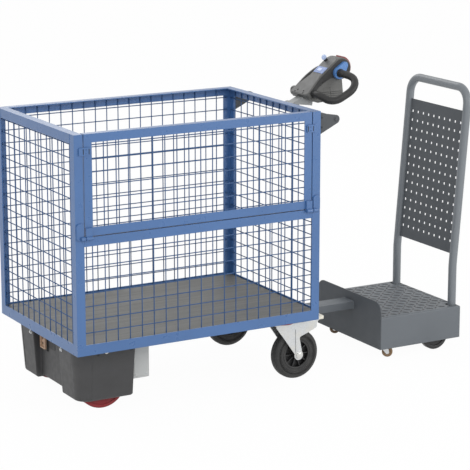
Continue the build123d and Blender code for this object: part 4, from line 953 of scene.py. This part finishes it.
def castor_wheel(side):
    """Solid rubber tyre with moulded rings and a mould line, and the ringed flanges inside it."""
    node = f"castor_tyre_{side}"
    body = f"castor_wheel_{side}"
    joint = f"castor_roll_{side}"
    low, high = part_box(node)
    outer = (high.z - low.z) / 2
    half = (high.y - low.y) / 2
    seat = outer - TYRE_DEPTH
    shoulder = (outer - TYRE_SHOULDER, half - TYRE_SHOULDER)
    wall = [(seat, TYRE_LIP * half)]
    wall += [(seat + out, half - depth) for out, depth in TYRE_WALL]
    wall += arc(shoulder, TYRE_SHOULDER, 90, 0, TYRE_SHOULDER_STEPS)
    wall.append((outer - MOULD_LINE_HEIGHT, MOULD_LINE_HALF))
    tyre = wall + [(outer, 0.0)] + [(radius, -y) for radius, y in reversed(wall)]
    turned(f"castor_tread_{side}", body, "tyre_grey", joint, [tyre], WHEEL_STEPS, (node,))
    face = [(FLANGE_INNER_R + out, depth) for out, depth in FLANGE_INSIDE]
    face += [(outer - FLANGE_DEPTH + out, depth) for out, depth in FLANGE_OUTSIDE]
    flanges = [[(radius, out * (half - depth)) for radius, depth in face] for out in BOTH]
    turned(f"castor_flanges_{side}", body, "tyre_grey", joint, flanges, WHEEL_STEPS)


def roller(side, body, node, joint, finish, rim_share, steps, sizes):
    """A roller turned from one profile: rounded shoulders, a stepped wall, a set-back web and a hub."""
    half, bore, hub, shoulder, dish = (size * MM for size in sizes)
    low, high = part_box(f"{node}_{side}")
    outer = (high.z - low.z) / 2
    rim = rim_share * outer
    wall = [(bore, half - HUB_RECESS), (hub, half - HUB_RECESS)]
    wall += [(hub + RIM_STEP, half - dish), (rim - RIM_SLOPE, half - dish)]
    wall += [(rim, half - RIM_STEP), (rim + RIM_SLOPE, half)]
    wall += arc((outer - shoulder, half - shoulder), shoulder, 90, 0, ROLLER_SHOULDER_STEPS)
    name = f"{body}_turned_{side}"
    replaces = (f"{node}_{side}",)
    turned(name, f"{body}_{side}", finish, f"{joint}_{side}", [mirrored(wall)], steps, replaces)


def axle_nuts():
    """Hexagon nuts over the plain axle ends."""
    for side in SIDES:
        centre, _ = wheel_axis(f"castor_roll_{side}")
        with piece(f"castor_nuts_{side}", f"castor_{side}", "zinc") as work:
            for y, out in outer_faces(f"castor_fork_{side}"):
                spot = (centre.x, y - out * BOLT_HEAD, centre.z)
                hex_bolt(work, spot, (0, out, 0), CASTOR_NUT, NUT_HEIGHT)
    with piece("platform_axle_nuts", "platform", "zinc") as work:
        for side, (y, out) in zip(SIDES, outer_faces("platform_axle")):
            centre, _ = wheel_axis(f"platform_roll_{side}")
            hex_bolt(work, (centre.x, y, centre.z), (0, out, 0), PLATFORM_NUT, NUT_HEIGHT)


# Castors

def castor_details(side):
    """Plate bolts, the pedal's ribbed tip, the brake clip, and darker bars of painted shade along the folds of the
    fork's legs.
    """
    body = f"castor_{side}"
    _, plates_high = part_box("castor_plates")
    low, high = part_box(f"castor_pedal_{side}")
    _, fork_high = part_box(f"castor_fork_{side}")
    pivot = Vector(joints[f"castor_swivel_{side}"]["pos_m"])
    centre, _ = wheel_axis(f"castor_roll_{side}")
    middle_x = (low.x + high.x) / 2 - TIP_BACK
    middle_y = (low.y + high.y) / 2
    top = high.z + TIP_PROUD
    with piece(f"castor_plate_bolts_{side}", "cart", "zinc") as work:
        for along in BOTH:
            for across in BOTH:
                x = pivot.x + along * PLATE_BOLT_ALONG
                y = pivot.y + across * PLATE_BOLT_ACROSS
                hex_bolt(work, (x, y, plates_high.z - CASTOR_PLATE), (0, 0, -1), *PLATE_BOLT)
    with piece(f"castor_pedal_tip_{side}", body, "pedal_cream") as work:
        outline = rounded_rectangle(high.x - low.x + TIP_LONGER, high.y - low.y + TIP_WIDER, TIP_CORNER_R)
        base = Matrix.Translation((middle_x, middle_y, top - TIP_THICKNESS))
        plate(work, outline, base, TIP_THICKNESS, TIP_EDGE)
        for rib in TIP_RIBS:
            start = (middle_x + rib, low.y + TIP_RIB_MARGIN, top)
            end = (middle_x + rib, high.y - TIP_RIB_MARGIN, top)
            round_bar(work, start, end, TIP_RIB_R, THIN_BAR_STEPS)
    with piece(f"castor_brake_clip_{side}", body, "black_detail_and_shade") as work:
        base = Matrix.Translation((low.x - CLIP_BACK, middle_y, fork_high.z - CLIP_DROP))
        plate(work, rounded_rectangle(*CLIP_OUTLINE), base, *CLIP_SHEET)
    # painted shade: darker bars along the folds of the fork's legs
    with piece(f"castor_fold_shade_{side}", body, "stem_grey_and_fold_shade") as work:
        for face, out in outer_faces(f"castor_fork_{side}"):
            y = face - out * BOLT_HEAD
            foot = (centre.x + FOLD_LOW[0], y, centre.z + FOLD_LOW[1])
            head = (centre.x + FOLD_TOP[0], y, fork_high.z + FOLD_TOP[1])
            round_bar(work, foot, head, FOLD_R, THIN_BAR_STEPS)


def castor_fork(side):
    """Pressed fork: two legs that taper to the axle, brake arms, crown and axle bolt."""
    node = f"castor_fork_{side}"
    low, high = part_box(node)
    centre, _ = wheel_axis(f"castor_roll_{side}")
    left, right, top = low.x - centre.x, high.x - centre.x, high.z - centre.z
    outline = [(left, top), (left, top - FORK_LIP), FORK_SHIN]
    outline += arc((0, 0), FORK_END_R, *FORK_END_ANGLES, FORK_END_STEPS) + FORK_ARM
    outline += [(right - FORK_ARM_END, FORK_ARM_HEIGHTS[0]), (right, FORK_ARM_HEIGHTS[1]), (right, top)]
    near, far = low.y + BOLT_HEAD, high.y - BOLT_HEAD
    with piece(f"castor_fork_pressed_{side}", f"castor_{side}", "zinc", (node,)) as work:
        for y in (near + FORK_SHEET, far):
            plate(work, outline, upright((centre.x, y, centre.z), -1), FORK_SHEET, FORK_SHEET_EDGE)
        crown = rounded_rectangle(high.x - low.x, far - near - CROWN_INSET, CROWN_CORNER_R)
        middle = ((low.x + high.x) / 2, (near + far) / 2, high.z - CROWN_THICKNESS)
        plate(work, crown, Matrix.Translation(middle), CROWN_THICKNESS, CROWN_EDGE)
        round_bar(work, (centre.x, near, centre.z), (centre.x, far, centre.z), AXLE_R, AXLE_STEPS)


# Drive end

def housing_details():
    """Skins over the front corners, bolts, and dark plates of painted shade for the notches and the recess of the
    drive housing.
    """
    low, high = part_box("drive_housing")
    middle_y = (low.y + high.y) / 2

    def front(across, z):
        return surface_at("drive_housing", (low.x - OUTSIDE, middle_y + across, z), (1, 0, 0))

    def side(along, z, out):
        return surface_at("drive_housing", (low.x + along, middle_y + out * OUTSIDE, z), (0, -out, 0))

    with piece("drive_housing_covers", "cart", "housing_plastic") as work:
        corner_x = low.x + HOUSING_CORNER_R
        for out in BOTH:
            corner_y = middle_y + out * ((high.y - low.y) / 2 - HOUSING_CORNER_R)
            paths = []
            for z, proud in COVER_SECTION:
                radius = HOUSING_CORNER_R - (high.z - z) * math.tan(HOUSING_DRAFT) + proud
                path = arc((0, 0), radius, 0, 90, COVER_STEPS)
                paths.append([(corner_x - x, corner_y + out * y, z) for x, y in path])
            solid(work, zip(*paths))
    with piece("drive_housing_bolts", "cart", "zinc") as work:
        for out in BOTH:
            across, z = FRONT_BOLT
            hex_bolt(work, *front(out * across, z), *HOUSING_BOLT)
            hex_bolt(work, *side(*SIDE_BOLT, out), *HOUSING_BOLT)
    # painted shade: dark plates where the notches are
    with piece("drive_housing_notch_shade", "cart", "black_detail_and_shade") as work:
        for out in BOTH:
            for along, length, height in HOUSING_NOTCHES:
                place = facing(*side(along, high.z - NOTCH_DROP, out), "X")
                plate(work, rounded_rectangle(length, height, NOTCH_CORNER_R), place, *NOTCH_SHEET)
    # painted shade: a dark plate where the front recess is
    with piece("drive_housing_recess_shade", "cart", "black_detail_and_shade") as work:
        place = facing(*front(RECESS_ACROSS, high.z - RECESS_DROP))
        plate(work, rounded_rectangle(*RECESS_OUTLINE), place, *RECESS_SHEET)


def socket_details():
    """The charging socket's frame and contacts."""
    low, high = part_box("charge_socket")
    middle_y = (low.y + high.y) / 2
    middle_z = (low.z + high.z) / 2
    width = high.y - low.y
    height = high.z - low.z
    upright_bar = rounded_rectangle(SOCKET_BAR, height + 2 * SOCKET_BAR, SOCKET_CORNER_R)
    level_bar = rounded_rectangle(width, SOCKET_BAR, SOCKET_CORNER_R)
    with piece("charge_socket_frame", "cart", "black_detail_and_shade") as work:
        for out in BOTH:
            y = middle_y + out * (width + SOCKET_BAR) / 2
            z = middle_z + out * (height + SOCKET_BAR) / 2
            plate(work, upright_bar, facing((high.x, y, middle_z), (-1, 0, 0)), *SOCKET_SHEET)
            plate(work, level_bar, facing((high.x, middle_y, z), (-1, 0, 0)), *SOCKET_SHEET)
    with piece("charge_socket_contacts", "cart", "black_detail_and_shade") as work:
        for across in BOTH:
            for up in BOTH:
                y = middle_y + across * CONTACT_ACROSS
                z = middle_z + up * CONTACT_UP
                lathe(work, CONTACT_FORM, facing((high.x - CONTACT_BACK, y, z), (-1, 0, 0)), CONTACT_STEPS)


def control_box_details():
    """A lid with four screws on both sides of the control box."""
    low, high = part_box("control_box")
    middle = (low + high) / 2
    outline = rounded_rectangle(high.x - low.x - LID_SHORTER, high.z - low.z - LID_LOWER, LID_CORNER_R)
    with piece("control_box_lids", "cart", "box_grey") as work:
        for y, out in outer_faces("control_box"):
            plate(work, outline, upright((middle.x, y, middle.z), out), *LID_SHEET)
    with piece("control_box_screws", "cart", "zinc") as work:
        for y, out in outer_faces("control_box"):
            for x in (low.x + LID_SCREW_X, high.x - LID_SCREW_X):
                for z in (low.z + LID_SCREW_Z, high.z - LID_SCREW_Z):
                    screw(work, (x, y + out * LID_SHEET[0], z), (0, out, 0), LID_SCREW_R)


# Tiller

def head_plane():
    """The tiller head's top face: X up the slope, Y across, Z square to the face."""
    low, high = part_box("tiller_head")
    pivot = Vector(joints["tiller_tilt"]["pos_m"])
    origin = (pivot.x + HEAD_OUT, (low.y + high.y) / 2, pivot.z + HEAD_RISE)
    return Matrix.Translation(origin) @ Matrix.Rotation(-HEAD_SLOPE, 4, "Y")


def head_side_plate(work, top, outline, out, thickness, soft):
    """A plate on a side of the head's bar, from an outline of (u, n) points."""
    side = Matrix.Translation(top @ Vector((0, out * HEAD_HALF_WIDTH, 0))) @ top.to_3x3().to_4x4()
    place = side @ Matrix.Rotation(-out * math.pi / 2, 4, "X")
    plate(work, [(u, -out * n) for u, n in outline], place, thickness, soft)


def belly_side(top, x, z, out):
    """A point on the flared side of the belly below the head."""
    half_width = min(BELLY_HALF_WIDTH, BELLY_WAIST + (BELLY_WAIST_Z - z) * BELLY_FLARE)
    return top.translation + Vector((x, out * half_width, z))


def tiller_head(top):
    """Head: a bar with a round nose, a fanned foot and a flared belly below."""
    nose = arc(HEAD_NOSE, HEAD_NOSE_R, *HEAD_NOSE_ANGLES, HEAD_NOSE_STEPS)
    bar = [(0.0, 0.0), *nose, HEAD_SHOULDER, (0.0, -HEAD_THICKNESS)]
    fan = mirrored(FAN_HALF)
    ends = (-HEAD_HALF_WIDTH, HEAD_HALF_WIDTH)
    levels = (FAN_TOP, -HEAD_THICKNESS)
    with piece("tiller_head_shell", "tiller", "tiller_plastic", ("tiller_head",)) as work:
        prism(work, [[top @ Vector((u, y, n)) for u, n in bar] for y in ends], HEAD_EDGE)
        prism(work, [[top @ Vector((u, y, n)) for u, y in fan] for n in levels], FAN_EDGE)
        prism(work, [[belly_side(top, x, z, out) for x, z in BELLY_PROFILE] for out in BOTH], BELLY_EDGE)


def tiller_loops_and_knobs(top):
    with piece("tiller_hand_loops", "tiller", "loop_rubber", ("tiller_loops",)) as work:
        radii = [radius for *_, radius in LOOP_PATH[1:-1]]
        for out in BOTH:
            points = [top @ Vector((u, out * y, n)) for u, n, y, _ in LOOP_PATH]
            tube(work, rounded_path(points, radii), LOOP_TUBE_R)
    reach = Vector(KNOB_WING_PLACE) - Vector(KNOB_PLACE)
    lean = math.degrees(math.atan2(reach.y, reach.x))
    spread = math.degrees(math.acos((KNOB_R - KNOB_WING_R) / reach.length))
    outline = arc(KNOB_WING_PLACE, KNOB_WING_R, lean - spread, lean + spread, KNOB_STEPS)
    outline += arc(KNOB_PLACE, KNOB_R, lean + spread, lean + 360 - spread, KNOB_STEPS)
    with piece("tiller_knobs", "tiller", "control_blue", ("throttle_knobs",)) as work:
        for out in BOTH:
            head_side_plate(work, top, outline, out, KNOB_WIDTH, KNOB_EDGE)


def tiller_button_and_key(top):
    inner = HEAD_NOSE_R + BUTTON_GAP
    outer = HEAD_NOSE_R + BUTTON_THICKNESS
    section = mirrored([(inner, -1.0), (outer - BUTTON_EDGE, -1.0), (outer, -BUTTON_CROWN)])
    with piece("tiller_button", "tiller", "button_red", ("safety_button",)) as work:
        paths = []
        for radius, across in section:
            path = arc(HEAD_NOSE, radius, *BUTTON_ANGLES, BUTTON_STEPS)
            paths.append([top @ Vector((u, across * BUTTON_HALF_WIDTH, n)) for u, n in path])
        solid(work, zip(*paths))
    with piece("tiller_key_bow", "tiller", "panel_window", ("key_switch",)) as work:
        place = facing(top @ Vector((KEY_U, KEY_Y, KEY_BOW_N)), (0, 1, 0))
        lathe(work, KEY_BOW_FORM, place, KEY_BOW_STEPS)
    with piece("tiller_key_barrel", "tiller", "black_detail_and_shade") as work:
        lathe(work, KEY_BARREL_FORM, top @ Matrix.Translation((KEY_U, KEY_Y, 0)), KEY_BARREL_STEPS)


def tiller_stem(top):
    """The block that carries the head, and its collar round the crossbar."""
    pivot = Vector(joints["tiller_tilt"]["pos_m"])
    middle = top.translation.y
    outline = [pivot + Vector((x, 0, z)) for x, z in STEM_FOOT]
    outline += [top @ Vector((u, 0, n)) for u, n in STEM_SEAT]
    sides = []
    for out in BOTH:
        sides.append([Vector((spot.x, middle + out * STEM_HALF_WIDTH, spot.z)) for spot in outline])
    ring = mirrored([(CROSSBAR_R, -COLLAR_HALF_WIDTH), (COLLAR_R, -COLLAR_HALF_WIDTH)])
    with piece("tiller_stem_block", "tiller", "stem_grey_and_fold_shade", ("tiller_stem",)) as work:
        prism(work, sides, STEM_EDGE)
        lathe(work, ring + ring[:1], facing((pivot.x, middle, pivot.z), (0, 1, 0)), COLLAR_STEPS)


def tiller_trim(top):
    """Strip, panel, screws, dark bands of painted shade on the sides, loop cuffs, and the moulded lines drawn as
    dark bars of painted shade.
    """
    upwards = top.to_3x3() @ Vector((0, 0, 1))
    across = top.to_3x3() @ Vector((0, 1, 0))
    with piece("tiller_top_strip", "tiller", "tiller_strip") as work:
        plate(work, mirrored(STRIP_HALF), top, *STRIP_SHEET)
    for name, finish, *rows in TILLER_PANELS:
        spot, outline, sheet = millimetres(*rows)
        with piece(name, "tiller", finish) as work:
            plate(work, rounded_rectangle(*outline), top @ Matrix.Translation(spot), *sheet)
    with piece("tiller_screws", "tiller", "black_detail_and_shade") as work:
        for spot in HEAD_SCREWS:
            screw(work, top @ Vector(spot), upwards, HEAD_SCREW_R)
    # painted shade: dark plates on the sides of the head
    with piece("tiller_side_shade_bands", "tiller", "tiller_shade_band") as work:
        nose = arc(HEAD_NOSE, HEAD_NOSE_R - BAND_INSET, *BAND_ANGLES, BAND_STEPS)
        for out in BOTH:
            head_side_plate(work, top, [BAND_FOOT, *nose, *BAND_LOW], out, *BAND_SHEET)
            for ends in zip(BAND_FAN, BAND_FAN[1:]):
                strip = [[top @ Vector((u, out * y, n)) for u, y in ends] for n in BAND_FAN_LEVELS]
                skin(work, strip, wrap=False)
    with piece("loop_collars", "tiller", "black_detail_and_shade") as work:
        for out in BOTH:
            for end, y, length, wall in LOOP_CUFFS:
                u, n, _, _ = LOOP_PATH[end]
                outer = LOOP_TUBE_R + wall
                profile = [(0, 0), (outer - CUFF_INNER_EDGE, 0), (outer, CUFF_INNER_EDGE)]
                profile += [(outer, length - CUFF_OUTER_EDGE), (outer - CUFF_OUTER_EDGE, length)]
                profile.append((0, length))
                lathe(work, profile, facing(top @ Vector((u, out * y, n)), out * across), CUFF_STEPS)
    # painted shade: dark bars for the moulded lines on the belly
    with piece("tiller_belly_lines", "tiller", "tiller_shade_band") as work:
        for out in BOTH:
            for x, z, end_x, end_z, radius in BELLY_LINES:
                start = belly_side(top, x, z, out)
                round_bar(work, start, belly_side(top, end_x, end_z, out), radius, HEXAGON)


def side_plate_bolts():
    """Bolts and screws on the plates that carry the tiller."""
    low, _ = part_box("tiller_side_plates")
    pivot = Vector(joints["tiller_tilt"]["pos_m"])
    with piece("side_plate_bolts", "cart", "plate_grey") as work:
        for y, out in outer_faces("tiller_side_plates"):
            hex_bolt(work, (pivot.x, y, pivot.z), (0, out, 0), *SIDE_PLATE_BOLT)
            for rise in SIDE_PLATE_SCREW_RISES:
                spot = (low.x + SIDE_PLATE_SCREW_X, y, pivot.z + rise)
                screw(work, spot, (0, out, 0), SIDE_PLATE_SCREW_R)


# Gate and frame

def gate_details():
    """Dark plates of painted shade for the slots, and the screws, of the gate's latches."""
    latch_low, latch_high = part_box("gate_latches")
    gate_low, gate_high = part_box("gate_frame")
    middle = (latch_low.z + latch_high.z) / 2
    posts = ((gate_high.x, 1), (gate_low.x, -1))
    # painted shade: dark plates where the slots open
    with piece("latch_slot_shade", "gate", "black_detail_and_shade") as work:
        for inner, post in posts:
            for offset in LATCH_SLOTS:
                place = facing((inner + post * offset, latch_low.y, middle), (0, -1, 0))
                plate(work, rounded_rectangle(*LATCH_SLOT_OUTLINE), place, *LATCH_SLOT_SHEET)
    with piece("latch_screws", "gate", "frame_blue") as work:
        for inner, post in posts:
            for rise in LATCH_SCREW_RISES:
                spot = (inner - post * LATCH_SCREW_IN, latch_low.y, middle + rise)
                screw(work, spot, (0, -1, 0), LATCH_SCREW_R)


def frame_welds():
    """Seams where the rails meet the corner posts."""
    low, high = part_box("corner_posts")
    rails_low, rails_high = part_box("wall_rails")
    seams = []
    for x in (low.x + POST_LEG, high.x - POST_LEG):
        seams.append((x, low.y, rails_low.z))
        seams.append((x, high.y, rails_high.z - RAIL_HEIGHT))
    for y in (low.y + POST_LEG, high.y - POST_LEG):
        for x in (low.x, high.x):
            seams.append((x, y, rails_high.z - RAIL_HEIGHT))
    with piece("frame_welds", "cart", "frame_blue") as work:
        for x, y, z in seams:
            weld_bead(work, (x, y, z), (x, y, z + RAIL_HEIGHT), FRAME_BEAD_R)


def platform_welds():
    """Seams round the arm's end and stitches along the backrest panel."""
    arm_low, arm_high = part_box("platform_arm")
    low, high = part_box("backrest_panel")
    x = arm_high.x
    foot = Vector((low.x + PANEL_BEAD_INSET, 0, low.z))
    run = Vector((high.x - PANEL_BEAD_INSET, 0, high.z)) - foot
    with piece("platform_welds", "platform", "platform_grey") as work:
        for y in (arm_low.y, arm_high.y):
            weld_bead(work, (x, y, arm_low.z), (x, y, arm_high.z), ARM_BEAD_R)
        for z in (arm_low.z, arm_high.z):
            weld_bead(work, (x, arm_low.y, z), (x, arm_high.y, z), ARM_BEAD_R)
        for y in (low.y, high.y):
            for stitch in range(STITCHES):
                start = foot + run * (STITCH_START + STITCH_PITCH * stitch)
                end = start + run * STITCH_LENGTH
                weld_bead(work, (start.x, y, start.z), (end.x, y, end.z), PANEL_BEAD_R)


# Stage, camera and light

def seen_ray(tree):
    """A factor that is 1 for what the camera, a reflection or a clear surface sees."""
    rays = add_node(tree, "ShaderNodeLightPath").outputs
    factor = rays["Is Camera Ray"]
    for name in ("Is Glossy Ray", "Is Transmission Ray"):
        factor = add_node(tree, "ShaderNodeMath", {0: factor, 1: rays[name]}, operation="MAXIMUM").outputs[0]
    return factor


def mix_to_output(tree, factor, unseen, seen, output):
    """Mix two shaders by a factor, into an output node."""
    inputs = {0: factor, 1: unseen.outputs[0], 2: seen.outputs[0]}
    mix = add_node(tree, "ShaderNodeMixShader", inputs)
    add_node(tree, output, {0: mix.outputs[0]})


def empty_tree(owner):
    """The emptied node tree of a material or world."""
    owner.use_nodes = True
    owner.node_tree.nodes.clear()
    return owner.node_tree


def studio_world():
    scene.world = bpy.data.worlds.new("studio")
    tree = empty_tree(scene.world)
    ambient = add_node(tree, "ShaderNodeBackground", {"Color": WHITE, "Strength": AMBIENT})
    white = add_node(tree, "ShaderNodeBackground", {"Color": WHITE, "Strength": 1.0})
    mix_to_output(tree, seen_ray(tree), ambient, white, "ShaderNodeOutputWorld")


def studio_floor():
    """A plain white floor that keeps a soft shadow."""
    mesh = bpy.data.meshes.new("floor")
    corners = [(x * FLOOR_HALF, y * FLOOR_HALF, 0) for x, y in ((-1, -1), (1, -1), (1, 1), (-1, 1))]
    mesh.from_pydata(corners, [], [(0, 1, 2, 3)])
    floor = add_object("floor", mesh)
    material = bpy.data.materials.new("floor_white")
    tree = empty_tree(material)
    matt = add_node(tree, "ShaderNodeBsdfDiffuse", {"Color": FLOOR_COLOUR})
    glow = add_node(tree, "ShaderNodeEmission", {"Strength": 1.0})
    share = add_node(tree, "ShaderNodeMath", {0: seen_ray(tree), 1: FLOOR_WHITENESS}, operation="MULTIPLY")
    mix_to_output(tree, share.outputs[0], matt, glow, "ShaderNodeOutputMaterial")
    mesh.materials.append(material)


def studio_lamps():
    for name, place, target, size, watts in LAMPS:
        lamp = bpy.data.lights.new(name, "AREA")
        lamp.size = size
        lamp.energy = watts
        holder = add_object(name, lamp)
        holder.location = place
        holder.rotation_euler = (Vector(target) - Vector(place)).to_track_quat("-Z", "Y").to_euler()


def photo_camera():
    camera = bpy.data.cameras.new("photo_camera")
    camera.sensor_width = SENSOR_MM
    camera.lens = FOCAL_PIXELS / IMAGE_PIXELS * SENSOR_MM
    camera.clip_end = CAMERA_REACH
    holder = add_object("photo_camera", camera)
    holder.location = CAMERA_AT
    holder.rotation_euler = (math.pi / 2 - CAMERA_ELEVATION, 0, -CAMERA_AZIMUTH)
    scene.camera = holder


def main():
    scene.view_settings.view_transform = "Standard"
    make_finishes()
    paint_frame()
    for node in ("back_mesh", "left_mesh", "right_mesh", "front_mesh"):
        dress_wires(node, "cart")
    dress_wires("gate_mesh", "gate")
    tear_plate()
    for side in SIDES:
        castor_wheel(side)
        castor_fork(side)
    for side in SIDES:
        for row in ROLLERS:
            roller(side, *row)
    axle_nuts()
    for side in SIDES:
        castor_details(side)
    housing_details()
    socket_details()
    control_box_details()
    top = head_plane()
    tiller_head(top)
    tiller_loops_and_knobs(top)
    tiller_button_and_key(top)
    tiller_stem(top)
    tiller_trim(top)
    side_plate_bolts()
    gate_details()
    frame_welds()
    platform_welds()
    studio_world()
    studio_floor()
    studio_lamps()
    photo_camera()


main()
